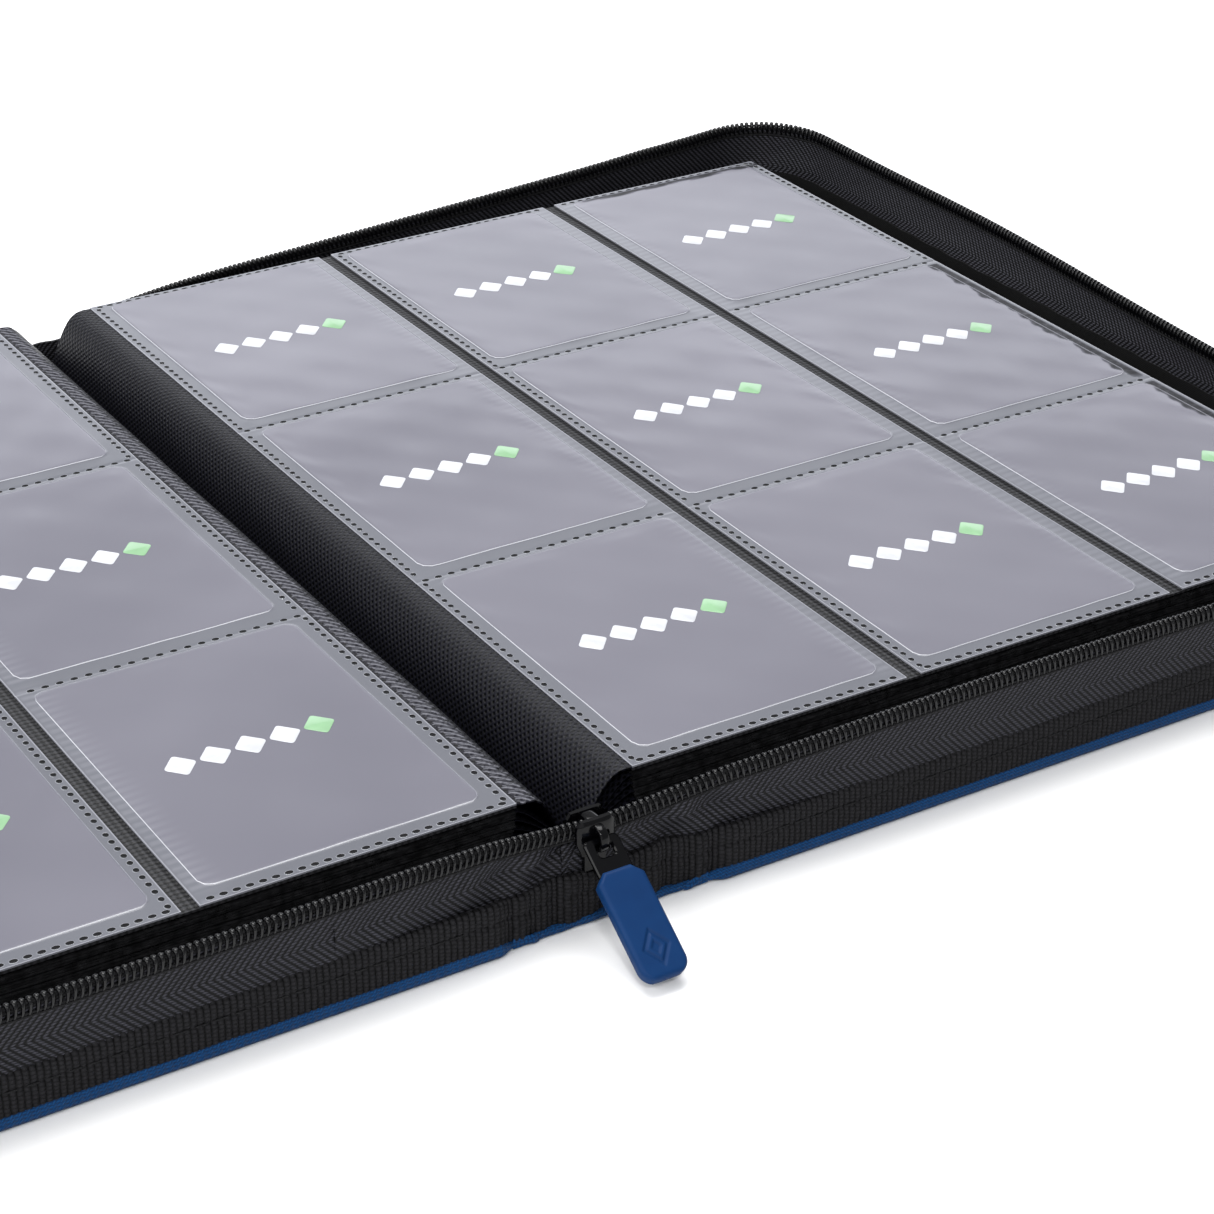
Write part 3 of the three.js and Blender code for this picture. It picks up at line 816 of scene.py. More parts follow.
def edge_binding(side, m):
    """One ribbon a side: along the cover's edge, and set back and crumpled where it crosses the spine."""
    fold = np.linspace(0, 40, 81)
    loose = 1 - on_cover(fold)
    wander = (0.45 * np.sin(fold * 0.47 + 0.8) + 0.25 * np.sin(fold * 1.07)) * loose
    near = np.stack([fold, -WALL_Y + 2.1 * loose + wander], axis=1)
    far = np.stack([fold, WALL_Y - 3.2 * loose + wander], axis=1)[::-1]
    plan, at = resample(np.vstack([near, wall_corners(), far]), LINE_STEP)
    x, y = plan.T
    loose = 1 - on_cover(x)
    high = binding_top(np.maximum(x, FOLD_END), y) - (0.4 + 0.5 * np.sin(x * 0.31 + 1.0)) * loose
    high = high + 0.30 * ripple(at * 0.55, y * 0, 3 + m) + 0.35 * np.sin(at * 0.043 + m)
    low = BINDING_LOW - 1.5 * loose + 0.25 * np.sin(x * 0.6) * loose
    points, faces, uv, slots = binding_shell(plan, at, low, high, 0.12, 2 + m)
    obj = make(f"{side}_binding", points, faces, [RIBBED, BAND], m, uv=uv, slots=slots)
    settle(obj, "black_fabric", replaces=[f"{side}_edge_binding"],
           blend=("spine", f"{side}_cover", 23.0, FOLD_END, m))
    stiff = x > 33
    run = at[stiff] - at[stiff][0]
    points, faces = stitches(plan[stiff], run, (low + (high - low) * SEAM_SHARE)[stiff])
    seam = make(f"{side}_binding_stitches", points, faces, THREAD, m, uv=points[:, :2], angle=70)
    settle(seam, "black_fabric", f"{side}_cover")


# ---- cover cloth and lining
# How the edge turns up, as steps of (outward, height).
CLOTH_STEPS = [(-1.6, 0.0), (-0.3, 0.06), (0.55, 0.35), (1.0, 1.0), (1.1, 1.9), (1.02, 2.9), (0.6, 3.5),
               (-0.2, 3.65)]
LINING_STEPS = [(-4.5, 3.75), (-2.6, 3.8), (-1.5, 4.2), (-1.05, 5.2), (-0.95, 6.6)]


def plate_lines():
    """X values across one half of a cover, close together over the fold and in the corners."""
    corner = CORNER_X + WALL_RADIUS * np.sin(np.radians(np.linspace(0, 90, 15)))
    return np.unique(np.round(np.concatenate([
        np.linspace(0, 22, 12), np.linspace(22.5, 31.5, 25), np.linspace(34, 228, 60), corner]), 4))


def edge_y(x, grow):
    """Half the cover's length at x, with its rounded outer corners, grown outward."""
    reach = np.clip((x - CORNER_X) / WALL_RADIUS, 0, 1)
    return np.where(x <= CORNER_X, WALL_Y + grow, CORNER_Y + (WALL_RADIUS + grow) * np.sqrt(1 - reach**2))


def cover_surface(steps, spine_in, seed):
    """A plate with its edge turned by the given steps: rows across X, columns round each line
    from the near edge's last step, over the plate, to the far edge's last step."""
    surface = []
    for x in plate_lines():
        inset = spine_in * (1 - step_up(x, 23.5, 27.5))
        wrinkle = 0.45 * math.sin(x * 0.9 + seed) * (1 - step_up(x, 22, 29))
        sunk = 1 - 0.46 * float(1 - on_cover(x))
        share = np.clip((x - CORNER_X) / WALL_RADIUS, 0, 1)
        turned = []
        for grow, z in steps:
            if z > 0.5 and steps is CLOTH_STEPS:
                z = z * sunk
            y = edge_y(x, grow) - inset - wrinkle * min(1.0, z / 2.5)
            crease = 0.18 * math.sin(x * 0.7 + seed) * (z > 2) * (x < 27)
            turned.append((x + grow * share, y, z + crease))
        near, far = [(a, -y, z) for a, y, z in turned], turned
        flat = [(near[0][0], near[0][1] + (far[0][1] - near[0][1]) * t, steps[0][1])
                for t in np.linspace(0, 1, 61)[1:-1]]
        surface.append(near[::-1] + flat + far)
    return np.array(surface)


def outer_edge(surface, steps):
    """Turns the last row of a cover surface up at the fore-edge by the same steps."""
    k = len(steps) - 1
    out, up = np.array(steps[1:]).T
    rows = []
    for grow, z in steps[1:]:
        row = surface[-1].copy()
        row[k:-k, 0], row[k:-k, 2] = WALL_X + grow, z
        row[-k:, 0], row[-k:, 2] = WALL_X + np.maximum(out, grow), np.maximum(up, z)
        row[:k, 0], row[:k, 2] = row[-k:, 0][::-1], row[-k:, 2][::-1]
        rows.append(row)
    return np.concatenate([surface, np.array(rows)])


def cover_sheets(side, m):
    """The blue skin and the black lining of one cover, each reaching to the middle of the spine."""
    for name, slot, steps, spine_in, skin, material in (
        ("cloth", "cover_cloth", CLOTH_STEPS, 1.7, 0.5, BLUE),
        ("lining", "black_fabric", LINING_STEPS, 1.2, 0.3, LINING),
    ):
        surface = outer_edge(cover_surface(steps, spine_in, 1.0 + m), steps)
        points, faces = thick(surface, 0.0, -skin)
        x, y, z = np.moveaxis(surface, 2, 0)
        obj = make(f"{side}_{name}", points, faces, material, m, uv=two_skins(x + z, y + z))
        nodes = [f"{side}_cover_{name}"] + ([f"spine_{name}"] if m > 0 else [])
        settle(obj, slot, replaces=nodes, blend=("spine", f"{side}_cover", 24.2, FOLD_END, m))


def fold_tucks(side, m):
    """The small folded corner of cloth at each end of the spine, where the cover's edge begins."""
    parts = []
    for end in (-1, 1):
        u, v = np.meshgrid(np.linspace(0, 1, 14), np.linspace(0, 1, 9), indexing="ij")
        x = 17.6 + 6.0 * u
        z = 0.30 + (1.5 + 0.9 * u) * v
        bulge = 0.9 * np.sin(math.pi * np.clip(u * 1.2, 0, 1)) ** 2 * np.sin(math.pi * v) + 0.15
        y = end * (WALL_Y - 0.95 + bulge * (1 - 0.5 * u) + 0.3 * np.sin(u * 9) * (1 - u))
        parts.append(thick(np.stack([x, y, z], axis=2), 0.2, 0.25))
    points, faces = join(parts)
    obj = make(f"{side}_cloth_tucks", points, faces, BLUE, m, uv=points[:, [0, 2]])
    settle(obj, "cover_cloth", "spine")


# ---- leaves
def sheet_slab(x0, x1, low, high, seed, jitter=0.35, wave=0.10, nx=30, ny=18):
    """A thin sheet with slightly uneven edges and faces."""
    u, v = np.meshgrid(np.linspace(0, 1, nx), np.linspace(0, 1, ny), indexing="ij")
    x = x0 + (x1 - x0) * u
    y = -HALF_PAGE + 2 * HALF_PAGE * v
    border = np.maximum(np.abs(u * 2 - 1), np.abs(v * 2 - 1)) ** 8
    x = x + jitter * border * ripple(y * 1.7, x, seed) * (u > 0.99)
    y = y + jitter * border * ripple(x * 1.9, y, seed + 5) * (np.abs(v * 2 - 1) > 0.98)
    lift = wave * ripple(x * 1.4, y * 1.2, seed + 9)
    return shell(np.stack([x, y, high + lift], axis=2), np.stack([x, y, low + lift], axis=2))


def leaf_below(i):
    """Inner edge and underside of the i-th leaf from the bottom: the stack steps in at the gutter."""
    return PAGE_INNER + 4.0 * ((LEAVES_BELOW - i) / LEAVES_BELOW) ** 1.5, LEAF_FLOOR + LEAF_PITCH * i


def lower_leaves(side, m):
    for i in range(LEAVES_BELOW):
        x0, base = leaf_below(i)
        layers = [sheet_slab(x0, PAGE_OUTER, base + low, base + low + 0.38, 3 * i + k + 40 * (m > 0))
                  for k, low in enumerate((0.12, 0.68, 1.24))]
        points, faces = join(layers)
        obj = make(f"{side}_leaf_sheets_{i + 1}", points, faces, LEAF, m)
        settle(obj, "page_backing", f"{side}_pages", [f"{side}_leaf_{i + 1}"])


def backing_sheet(side, m):
    points, faces = sheet_slab(PAGE_INNER, PAGE_OUTER, BACKING_LOW, BACKING_HIGH, 21 + m, 0.0, 0.04, 60, 70)
    obj = make(f"{side}_backing_sheet", points, faces, HATCHED, m)
    settle(obj, "page_backing", f"{side}_leaf", [f"{side}_top_leaf_backing"])


# ---- pockets
def pocket_lines(length, low, high, spread=4.0):
    """Sample lines across a pocket: fine at its ends and at the card's edges."""
    end = np.array([0, 0.35, 0.8, 1.4, 2.1])
    near_edge, far_edge = np.arange(low - 1.0, low + 4.2, 0.35), np.arange(high - 4.2, high + 1.05, 0.35)
    between = np.arange(low + 5, high - 4.5, spread)
    values = np.unique(np.round(np.concatenate([end, near_edge, between, far_edge, length - end]), 3))
    keep = [values[0]]
    for value in values[1:]:
        if value - keep[-1] > 0.18:
            keep.append(value)
    keep[-1] = length
    return np.array(keep)


def film_height(column, seed, aa, bb):
    """Height of one pocket column's film over its own plan, and where a card lies under it."""
    inset = CARD_SIDE_INSET[column]
    local = np.where(bb >= 3 * ROW_PITCH - 1e-6, ROW_PITCH, np.mod(bb, ROW_PITCH))
    cx, cy = inset + CARD_WIDTH / 2, CARD_NEAR_INSET + CARD_HEIGHT / 2
    sd = rounded_box(aa - cx, local - cy, CARD_WIDTH / 2, CARD_HEIGHT / 2, CARD_RADIUS)
    card = 1 - step_up(sd, -0.35, 0.35)
    to_line = np.minimum(local, ROW_PITCH - local)
    calm = step_up(np.minimum(to_line, np.minimum(aa, COLUMN_WIDTH - aa)), 1.8, 7.0)
    slack = 0.09 * ripple(aa * 2.1 + 37 * seed, bb * 1.7, seed) + 0.05 * ripple(aa * 4.3, bb * 3.1, seed + 2)
    inner_line = (bb > 0.5 * ROW_PITCH) & (bb < 2.5 * ROW_PITCH)
    weld = 0.10 * (1 - step_up(to_line, 0.0, 0.9)) * inner_line
    return FILM_Z + 0.16 * card + (slack + 0.05) * calm - weld, card


def film_seed(column, m):
    return column + 1 + 3 * (m > 0)


def film_origin(column):
    """The near inner corner of a column of pockets, in plan."""
    return np.array([PAGE_INNER + column * COLUMN_PITCH, -HALF_PAGE])


def film_level(column, m, plan):
    """Height of the film over points given in plan."""
    return film_height(column, film_seed(column, m), *(plan - film_origin(column)).T)[0]


def film_column(side, m, column):
    inset = CARD_SIDE_INSET[column]
    a = pocket_lines(COLUMN_WIDTH, inset, inset + CARD_WIDTH)
    one = pocket_lines(ROW_PITCH, CARD_NEAR_INSET, CARD_NEAR_INSET + CARD_HEIGHT, 0.8)
    b = np.unique(np.round(np.concatenate([one, one + ROW_PITCH, one + 2 * ROW_PITCH]), 3))
    aa, bb = np.meshgrid(a, b, indexing="ij")
    z, card = film_height(column, film_seed(column, m), aa, bb)
    x0, y0 = film_origin(column)
    open_side = (COLUMN_WIDTH - aa) if column < 2 else aa
    strip = (1 - step_up(open_side, 3.0, 9.5)) * step_up(open_side, 0.3, 1.0)
    ribs = (0.5 + 0.5 * np.sin(bb * 2 * math.pi / 2.7)) * strip
    clear = np.zeros_like(aa)
    if column == 2:
        edge, far = COLUMN_WIDTH - aa, 3 * ROW_PITCH - bb
        wave = 0.8 * np.sin(bb * 0.33 + 2 * np.sin(bb * 0.11)) + 0.4 * np.sin(bb * 1.1)
        side_band = (1 - step_up(edge, 3.6 + wave, 5.0 + wave)) * step_up(edge, 0.9, 1.4)
        side_band = side_band * (bb < 2 * ROW_PITCH - 2)
        far_wave = 0.7 * np.sin(aa * 0.4) + 0.3 * np.sin(aa * 1.3)
        far_band = (1 - step_up(far, 3.4 + far_wave, 4.8 + far_wave)) * step_up(far, 1.8, 2.3)
        far_band = far_band * step_up(aa, 6, 12)
        clear = np.maximum(side_band, far_band)
        to_line = np.minimum(np.mod(bb, ROW_PITCH), ROW_PITCH - np.mod(bb, ROW_PITCH))
        clear = np.where(far_band > side_band, clear, clear * step_up(to_line, 1.0, 3.0))
    rows, columns = aa.shape
    top = np.stack([x0 + aa, y0 + bb, z], axis=2).reshape(-1, 3)
    border = grid_border(rows, columns)
    skirt = top[border].copy()
    skirt[:, 2] = BACKING_HIGH + 0.17
    faces = grid_faces(rows, columns)
    count, first = len(border), rows * columns
    slots = list((clear.ravel()[np.array(faces)].mean(axis=1) > 0.3).astype(int)) + [0] * (count + 1)
    for k in range(count):
        n = (k + 1) % count
        faces.append([border[n], border[k], first + k, first + n])
    faces.append([first + k for k in range(count)])
    rim = np.zeros_like(aa)
    rim[0, :] = rim[-1, :] = rim[:, 0] = rim[:, -1] = 1.0
    values = {name: np.concatenate([field.ravel(), np.full(count, on_skirt)]) for name, field, on_skirt in (
        ("edge", rim, 0.6), ("card", card, 0.0), ("open", clear, 0.0), ("ribs", ribs, 0.0))}
    obj = make(f"{side}_film_{column + 1}", np.vstack([top, skirt]), faces, FILM, m, slots=slots,
               attributes=values, angle=50)
    settle(obj, "pocket_film", f"{side}_leaf", [f"{side}_pocket_column_{column + 1}"])


def perforation():
    """A welded dash: a raised lip round a dark slot."""
    count = 12
    turn = np.arange(count) * 2 * math.pi / count
    rings = [np.column_stack([(0.90 + grow) * np.cos(turn), (0.66 + grow) * np.sin(turn), np.full(count, z)])
             for grow, z in ((0.17, -0.04), (0.07, 0.10), (0.0, 0.07))]
    lip = tube_faces(len(rings), count)[:-1]
    slot = [(2 * count + q, 2 * count + (q + 1) % count, 3 * count) for q in range(count)]
    return np.vstack([*rings, (0, 0, 0.03)]), lip + slot, [0] * len(lip) + [1] * count


PERFORATION = perforation()


def weld_dashes(side, m, column):
    """Dashes across every weld line, and along the closed side of each column."""
    along_x, along_y = np.eye(3), np.array([[0, -1, 0], [0.9, 0, 0], [0, 0, 1.0]])
    x0, y0 = film_origin(column)
    far = 3 * ROW_PITCH
    places = []
    for line, z, pitch in ((1.35, 0.0, 2.85), (ROW_PITCH, -0.08, 3.4), (2 * ROW_PITCH, -0.08, 3.4),
                           (far - 1.35, 0.0, 2.85)):
        for a in np.arange(2.6, COLUMN_WIDTH - 1.5, pitch):
            places.append(((x0 + a, y0 + line, FILM_Z + z), along_x))
    closed_x, first = (1.5, 2.9) if column < 2 else (COLUMN_WIDTH - 1.5, 2 * ROW_PITCH + 2.9)
    for b in np.arange(first, far - 2, 3.0):
        if min(abs(b - ROW_PITCH), abs(b - 2 * ROW_PITCH)) > 1.3:
            places.append(((x0 + closed_x, y0 + b, FILM_Z), along_y))
    dash, faces, slots = PERFORATION
    points, faces, slots = copies(dash, faces, places, slots)
    obj = make(f"{side}_welds_{column + 1}", points, faces, [LIP, HOLE], m, slots=slots, angle=80)
    settle(obj, "pocket_film", f"{side}_leaf")


def rounded_outline(x0, x1, y0, y1, radius):
    """A rectangle with rounded corners, from its right side round to the left."""
    outline = []
    for x, y, start in ((x1 - radius, y1 - radius, 0), (x0 + radius, y1 - radius, 90),
                        (x0 + radius, y0 + radius, 180), (x1 - radius, y0 + radius, 270)):
        outline += arc(x, y, radius, start, start + 90, 6)
    return outline


def card_corner(column, row):
    """The near inner corner of a card, in plan."""
    return film_origin(column) + [CARD_SIDE_INSET[column], row * ROW_PITCH + CARD_NEAR_INSET]


def card_rims(side, m, column):
    """A hair-thin line along each card's edge, pressed through the film, coloured as a painted highlight that
    is brightest on the left and near sides.
    """
    profile = ((-0.12, -0.10), (-0.07, 0.03), (0.0, 0.06), (0.07, 0.03), (0.12, -0.10))
    parts, lit = [], []
    for row in range(3):
        x, y = card_corner(column, row)
        loop = rounded_outline(x, x + CARD_WIDTH, y, y + CARD_HEIGHT, CARD_RADIUS)
        loop = resample(loop + loop[:1], 2.0)[0][:-1]
        forward = np.roll(loop, -1, axis=0) - np.roll(loop, 1, axis=0)
        forward /= np.linalg.norm(forward, axis=1, keepdims=True)
        out = np.stack([forward[:, 1], -forward[:, 0]], axis=1)
        level = film_level(column, m, loop - out * 0.4) - 0.03
        rings = [np.column_stack([loop + out * n, level + z]) for n, z in profile]
        parts.append((np.stack(rings, axis=1), tube_faces(len(loop), len(profile), looped=True)))
        # Painted highlight: sides whose outward normal points left or towards the near edge, where the lamps
        # are, get a higher 'lit' value and so a lighter colour.
        facing = -out[:, 0] * m * 0.75 - out[:, 1]
        lit.append(np.repeat(np.clip(facing, 0, 1), len(profile)))
    points, faces = join(parts)
    obj = make(f"{side}_card_rims_{column + 1}", points, faces, RIM_HIGHLIGHT, m,
               attributes={"lit": np.concatenate(lit)}, angle=80)
    settle(obj, "pocket_film", f"{side}_leaf")


def lozenge(width, height, radius=0.9):
    """Outline of a rhombus with softened corners."""
    corners = np.array([(width / 2, 0), (0, height / 2), (-width / 2, 0), (0, -height / 2)])
    out = []
    for k, corner in enumerate(corners):
        a, b = (corner + radius * (other - corner) / np.linalg.norm(other - corner)
                for other in (corners[k - 1], corners[(k + 1) % 4]))
        for t in (0, 0.25, 0.5, 0.75, 1):
            out.append((1 - t) ** 2 * a + 2 * t * (1 - t) * corner + t * t * b)
    return np.array(out)


def marks(side, m, column):
    """A plain row of lozenges in the middle of each card: four white ones and a green one."""
    white, green = [], []
    outline = lozenge(7.6, 8.6)
    faces = tube_faces(3, len(outline))
    for row in range(3):
        middle = card_corner(column, row) + [CARD_WIDTH / 2, CARD_HEIGHT / 2]
        for k in range(5):
            centre = middle + [m * (k - 2) * 8.1, 0]
            level = film_level(column, m, outline + centre)
            points = [np.column_stack([outline * size + centre, level + z])
                      for size, z in ((1.0, -0.20), (1.0, 0.05), (0.97, 0.08))]
            (green if k == 4 else white).append((points, faces))
    for tint, parts, material in (("white", white, WHITE), ("green", green, GREEN)):
        points, faces = join(parts)
        obj = make(f"{side}_marks_{tint}_{column + 1}", points, faces, material, m, angle=30)
        settle(obj, "pocket_film", f"{side}_leaf")


# ---- gutter
# The top leaf's margin in section, as (x, z): from under its film down to the binding strip.
MARGIN_PATH = [(14.8, 23.60), (13.2, 23.72), (11.4, 23.70), (9.6, 23.2), (7.7, 21.8), (5.9, 19.4),
               (4.3, 16.2), (2.9, 12.6), (1.7, 9.0), (1.05, 5.9)]


def margin_sheet(side, m):
    """The soft margin of the top leaf, from its film down to the spine."""
    curve, run = resample(smooth_path(MARGIN_PATH), 0.5)
    y = np.linspace(-HALF_PAGE + 0.1, HALF_PAGE - 0.1, 640)
    rr, yy = np.meshgrid(run, y, indexing="ij")
    ragged = 0.9 * np.sin(yy * 2 * math.pi / 2.9) + 0.35 * np.sin(yy * 0.9)
    level = 1 - step_up(rr, 4.9 + ragged, 5.4 + ragged)
    bars = level * step_up(rr, 1.2, 1.7) * (m < 0)
    out = 0.16 * ripple(rr * 3, yy * 0.8, 4 + m) * step_up(rr, 3, 9)
    if m < 0:
        out = out + 0.22 * np.sin(yy * 2 * math.pi / 2.7) * level * step_up(rr, 1.2, 2.0)
    along = tangents(curve)
    x = curve[:, :1] - along[:, 1:] * out
    z = curve[:, 1:] + along[:, :1] * out
    points, faces = thick(np.stack([x, yy, z], axis=2), 0.2, 0.2)
    obj = make(f"{side}_margin", points, faces, MARGIN, m, uv=two_skins(rr, yy),
               attributes={"bars": np.tile(bars.ravel(), 2)})
    settle(obj, "page_backing", replaces=[f"{side}_leaf_margin"],
           blend=("spine", f"{side}_pages", 2.5, 13.0, m))


def margin_flap(side, m):
    """A narrow flap that carries the margin from the stack to the turning leaf."""
    x = np.linspace(12.9, 14.7, 26)
    y = np.linspace(-HALF_PAGE + 0.3, HALF_PAGE - 0.3, 60)
    xx, yy = np.meshgrid(x, y, indexing="ij")
    z = 23.80 + 0.02 * np.sin(yy)
    points, faces = shell(np.stack([xx, yy, z + 0.14], axis=2), np.stack([xx, yy, z - 0.1], axis=2))
    obj = make(f"{side}_margin_flap", points, faces, MARGIN, m, uv=two_skins(xx, yy))
    settle(obj, "page_backing", blend=(f"{side}_pages", f"{side}_leaf", 13.1, 13.9, m))


def lower_margins(side, m):
    """The margins of the leaves below, each curving down to the binding strip."""
    parts, maps = [], []
    y = np.linspace(-HALF_PAGE + 0.4, HALF_PAGE - 0.4, 40)
    foot = STRIP_TOP - 0.15
    for i in range(LEAVES_BELOW):
        x0, z0 = leaf_below(i)
        x0, z0 = x0 + 1.2, z0 + 0.87
        root = 1.55 + 0.19 * (LEAVES_BELOW - 1 - i)
        bend = 0.35 + 0.6 * i / (LEAVES_BELOW - 1)
        path = [(x0, z0), (x0 - 2.6, z0 + 0.1),
                (root + (x0 - root) * 0.42 * bend + 0.6, foot + (z0 - foot) * 0.72),
                (root + 0.5, foot + (z0 - foot) * 0.30), (root, STRIP_TOP)]
        curve, run = resample(smooth_path(path, 10), 1.2)
        surface = np.stack(np.broadcast_arrays(curve[:, :1], y[None, :], curve[:, 1:]), axis=2)
        parts.append(thick(surface, 0.1, 0.1))
        maps.append(two_skins(run[:, None], y[None, :]))
    points, faces = join(parts)
    obj = make(f"{side}_lower_margins", points, faces, MARGIN, m, uv=np.vstack(maps))
    settle(obj, "page_backing", replaces=[f"{side}_margin_bundle"],
           blend=("spine", f"{side}_pages", 2.5, 12.6, m))


# ---- slider, link, pull and small fittings
def refined(node, width, segments, material, slot, body):
    """The frame's own solid with rounded edges."""
    obj = bpy.data.objects.new(f"{node}_finished", frame["nodes"][node].data.copy())
    bpy.context.scene.collection.objects.link(obj)
    obj.data.materials.clear()
    obj.data.materials.append(material)
    bevel = obj.modifiers.new("rounding", "BEVEL")
    bevel.width = width * MM
    bevel.segments = segments
    bevel.limit_method = "ANGLE"
    bevel.angle_limit = math.radians(25)
    bevel.use_clamp_overlap = True
    obj.data.shade_smooth()
    obj.data.set_sharp_from_angle(angle=math.radians(40))
    settle(obj, slot, body, [node])


def in_pull(points):
    """From the pull's own axes to the frame's, at rest."""
    c, s = math.cos(PULL_SLOPE), math.sin(PULL_SLOPE)
    return PULL_ORIGIN + points.reshape(-1, 3) @ np.array([[1, 0, 0], [0, c, s], [0, -s, c]])


def slider():
    """The slider's two domed plates, and the crown that joins them."""
    low, high = SLIDER_BOX
    half = (high[0] - low[0]) / 2
    parts = []
    u, v = np.meshgrid(np.linspace(-1, 1, 15), np.linspace(0, 1, 19), indexing="ij")
    x = SLIDER_X + u * half * (0.74 + 0.26 * step_up(v, 0.0, 0.45) - 0.20 * step_up(v, 0.80, 1.0))
    z = low[2] + (high[2] - low[2]) * v
    dome = 1.25 - 0.55 * np.maximum(np.abs(u), np.abs(2 * v - 1)) ** 6 + 0.25 * (1 - u**2)
    for y0, way in ((low[1] + 1.2, -1), (high[1] - 1.2, 1)):
        parts.append(shell(np.stack([x, y0 + way * dome, z], axis=2),
                           np.stack([x, np.full_like(x, y0 - way * 0.1), z], axis=2)))
    u, v = np.meshgrid(np.linspace(-1, 1, 9), np.linspace(-1, 1, 13), indexing="ij")
    top = high[2] - 0.15 - 0.35 * u**4 - 0.25 * v**4
    crown = [SLIDER_X + u * 1.5, SLIDER_Y + v * (high[1] - low[1] - 1.6) / 2]
    parts.append(shell(np.stack([*crown, top], axis=2), np.stack([*crown, top - 2.0], axis=2)))
    points, faces = join(parts)
    body = make("slider_body", points, faces, ENAMEL, 1, angle=35)
    settle(body, "black_metal", "zip_slider", ["zip_slider_body"])


def slider_arch():
    """The arch on the slider's front plate, which the link hangs in: a flat bar with rounded edges."""
    low, high = BRIDGE_BOX
    foot, reach = high[1] + 0.35, high[1] - low[1]
    tall = (high[2] - low[2]) / 2 - 0.5
    angle = np.radians(np.linspace(-90, 90, 25))
    middle = (low[2] + high[2]) / 2
    path = np.column_stack([foot - (reach - 0.2) * np.cos(angle) ** 0.6, middle + tall * np.sin(angle)])
    along = tangents(path)
    ring = np.arange(16) * 2 * math.pi / 16
    wide, deep = (np.sign(wave) * np.abs(wave) ** 0.5 for wave in (np.cos(ring), 0.52**2 * np.sin(ring)))
    points = np.stack(np.broadcast_arrays(SLIDER_X + wide, path[:, :1] - deep * along[:, 1:],
                                          path[:, 1:] + deep * along[:, :1]), axis=2)
    arch = make("slider_arch", points, tube_faces(len(path), len(ring)), ENAMEL, 1, angle=50)
    settle(arch, "black_metal", "zip_slider", ["zip_slider_bridge"])


def link():
    """A flat plate with a slot at its top that hangs in the arch and runs down into the grip."""
    def outer(inset):
        return rounded_outline(inset - 4.1, 4.1 - inset, inset - 8.2, 1.1 - inset, 1.3)

    def slot(grow):
        return rounded_outline(-1.9 - grow, 1.9 + grow, -3.4 - grow, grow - 0.35, 0.9)

    bevel, half, edge = 0.28, 0.60, 0.32
    loops = [(outer(0.0), edge), (outer(bevel), half), (slot(bevel), half), (slot(0.0), edge),
             (slot(0.0), -edge), (slot(bevel), -half), (outer(bevel), -half), (outer(0.0), -edge)]
    points = np.vstack([[(x, y, z) for x, y in loop] for loop, z in loops])
    faces = tube_faces(len(loops), len(loops[0][0]), looped=True)
    plate = make("pull_link", in_pull(points), faces, ENAMEL, 1, angle=35)
    settle(plate, "black_metal", "zip_pull", ["zip_pull_link"])


def pull_grip():
    """The moulded grip: softly bevelled all round, with a plain lozenge sunk in its lower end."""
    half_w = (GRIP_BOX[1][0] - GRIP_BOX[0][0]) / 2
    top, end, thick_half = -6.5, -31.4, 1.6
    radius_top, radius_end = 2.4, 3.3
    y = np.linspace(end, top, 108)
    from_end, from_top = y - end, top - y
    round_end = radius_end - np.sqrt(radius_end**2 - np.maximum(radius_end - from_end, 0) ** 2)
    half = half_w - np.maximum(round_end, np.maximum(radius_top - from_top, 0))
    t = np.linspace(-1, 1, 57)
    t = np.sign(t) * (1 - (1 - np.abs(t)) ** 1.25)
    xx = half[:, None] * t[None, :]
    yy = np.repeat(y[:, None], len(t), 1)
    inside = np.minimum(np.minimum(half[:, None] - np.abs(xx), from_end[:, None]), from_top[:, None])
    bevel = np.clip(1 - inside / 1.1, 0, 1)
    drop_edge = 1.0 * (1 - np.sqrt(np.maximum(1 - bevel**2, 0)))
    cy = end + 6.6
    ring = (np.abs(xx) / 2.75 + np.abs(yy - cy) / 3.6 - 1) * 2.1
    sunk = 0.34 * (1 - step_up(np.abs(ring), 0.22, 0.50))
    centre = (np.abs(xx) / 1.15 + np.abs(yy - cy) / 1.5 - 1) * 0.9
    sunk = sunk + 0.34 * (1 - step_up(centre, -0.15, 0.2))
    face = thick_half - drop_edge
    upper = np.stack([xx, yy, face - sunk], axis=2)
    lower = np.stack([xx, yy, -face], axis=2)
    points, faces = shell(upper, lower)
    obj = make("pull_grip", in_pull(points), faces, RUBBER, 1, angle=50)
    settle(obj, "pull_rubber", "zip_pull", ["zip_pull_grip"])


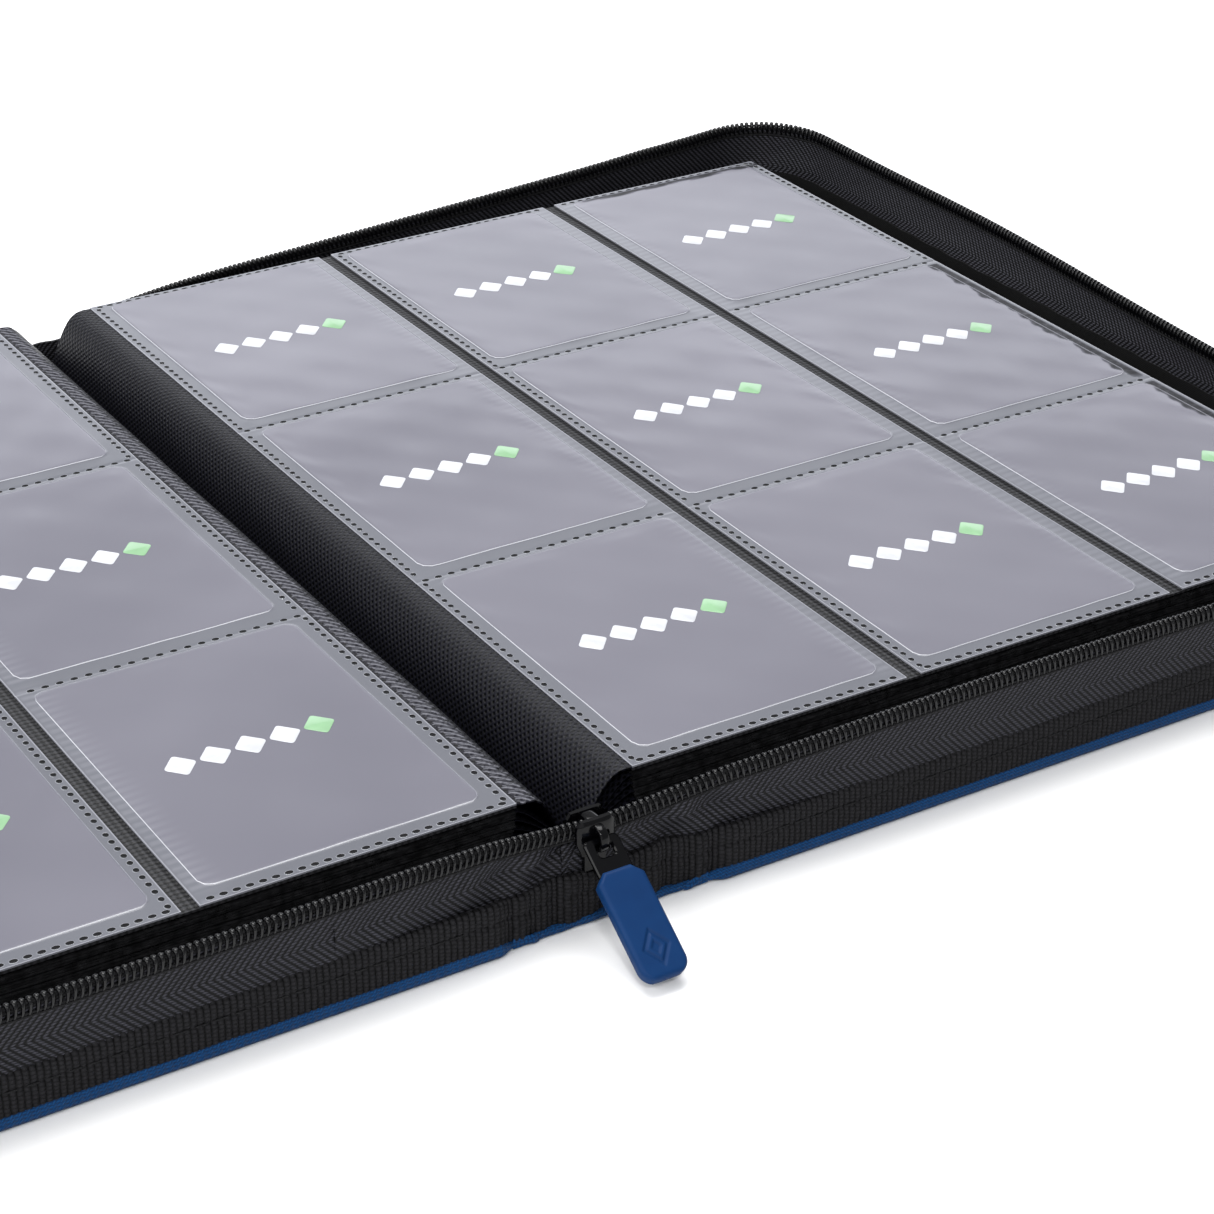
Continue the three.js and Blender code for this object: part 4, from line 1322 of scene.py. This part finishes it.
def end_patches():
    """The folded end of the tapes behind the slider, and the sewn patch at the far end of the spine."""
    for name, x0, x1, y, low, high, node in (
        ("tail_patch", -11.0, 3.0, -155.0, 4.0, 20.0, "zip_tail_tape"),
        ("far_patch", -12.0, 12.0, 151.0, 4.0, 13.0, "zip_far_patch"),
    ):
        x, z = np.meshgrid(np.linspace(x0, x1, 40), np.linspace(low, high, 30), indexing="ij")
        fold = 0.28 * np.sin(x * 0.8 + 0.4 * np.sin(z * 0.5)) + 0.12 * np.sin(z * 1.1)
        surface = np.stack([x, y + fold, z], axis=2)
        points, faces = thick(surface, 0.4, 0.4)
        obj = make(name, points, faces, TAPE, 1, uv=two_skins(x, z))
        settle(obj, "black_fabric", "spine", [node])


# ---- putting one half together
def zip_half(side, m):
    line, at = edge_line(m)
    near_end = float(at[(line[:, 0] >= STIFF_FROM) & (line[:, 1] < 0)][0])
    far_start = float(at[(line[:, 0] >= STIFF_FROM) & (line[:, 1] > 0)][-1])
    cuts = {"near": (0.0, near_end), "wall": (near_end, far_start), "far": (far_start, float(at[-1]))}
    for part, (first, last) in cuts.items():
        span = (at >= first - 1e-6) & (at <= last + 1e-6)
        stretch = line[span], at[span]
        tape, flat = tape_run(f"{side}_{part}_tape", *stretch, m, crumple=0.0 if part == "wall" else 1.1)
        coil = coil_run(f"{side}_{part}_coil", line, at, first, last, m)
        cord = threads(f"{side}_{part}_coil_thread", line, at, first, last, m)
        if part == "wall":
            nodes = [f"{side}_zip_tape"], [f"{side}_zip_coil"]
            follow = {"body": f"{side}_cover"}
        else:
            nodes = [f"{side}_{part}_slack_tape"], []
            follow = {"blend": ("spine", f"{side}_cover", 8.0, STIFF_FROM, m)}
        settle(tape, "black_fabric", replaces=nodes[0], **follow)
        settle(coil, "zip_coil", replaces=nodes[1], **follow)
        settle(cord, "black_fabric", **follow)


camera()
studio()
for side, m in SIDES:
    cover_sheets(side, m)
    fold_tucks(side, m)
    edge_binding(side, m)
    inner_band(side, m)
    zip_half(side, m)
    lower_leaves(side, m)
    backing_sheet(side, m)
    for column in range(3):
        film_column(side, m, column)
        weld_dashes(side, m, column)
        card_rims(side, m, column)
        marks(side, m, column)
    margin_sheet(side, m)
    margin_flap(side, m)
    lower_margins(side, m)
end_patches()
pull_grip()
slider()
slider_arch()
link()
refined("zip_end_stop", 0.5, 3, ENAMEL, "black_metal", "spine")
refined("page_binding_strip", 0.6, 3, LEAF, "page_backing", "spine")
for node in ("spine_board", "back_cover_board", "front_cover_board"):
    board = frame["nodes"][node]
    board.data.materials.clear()
    board.data.materials.append(BOARD)
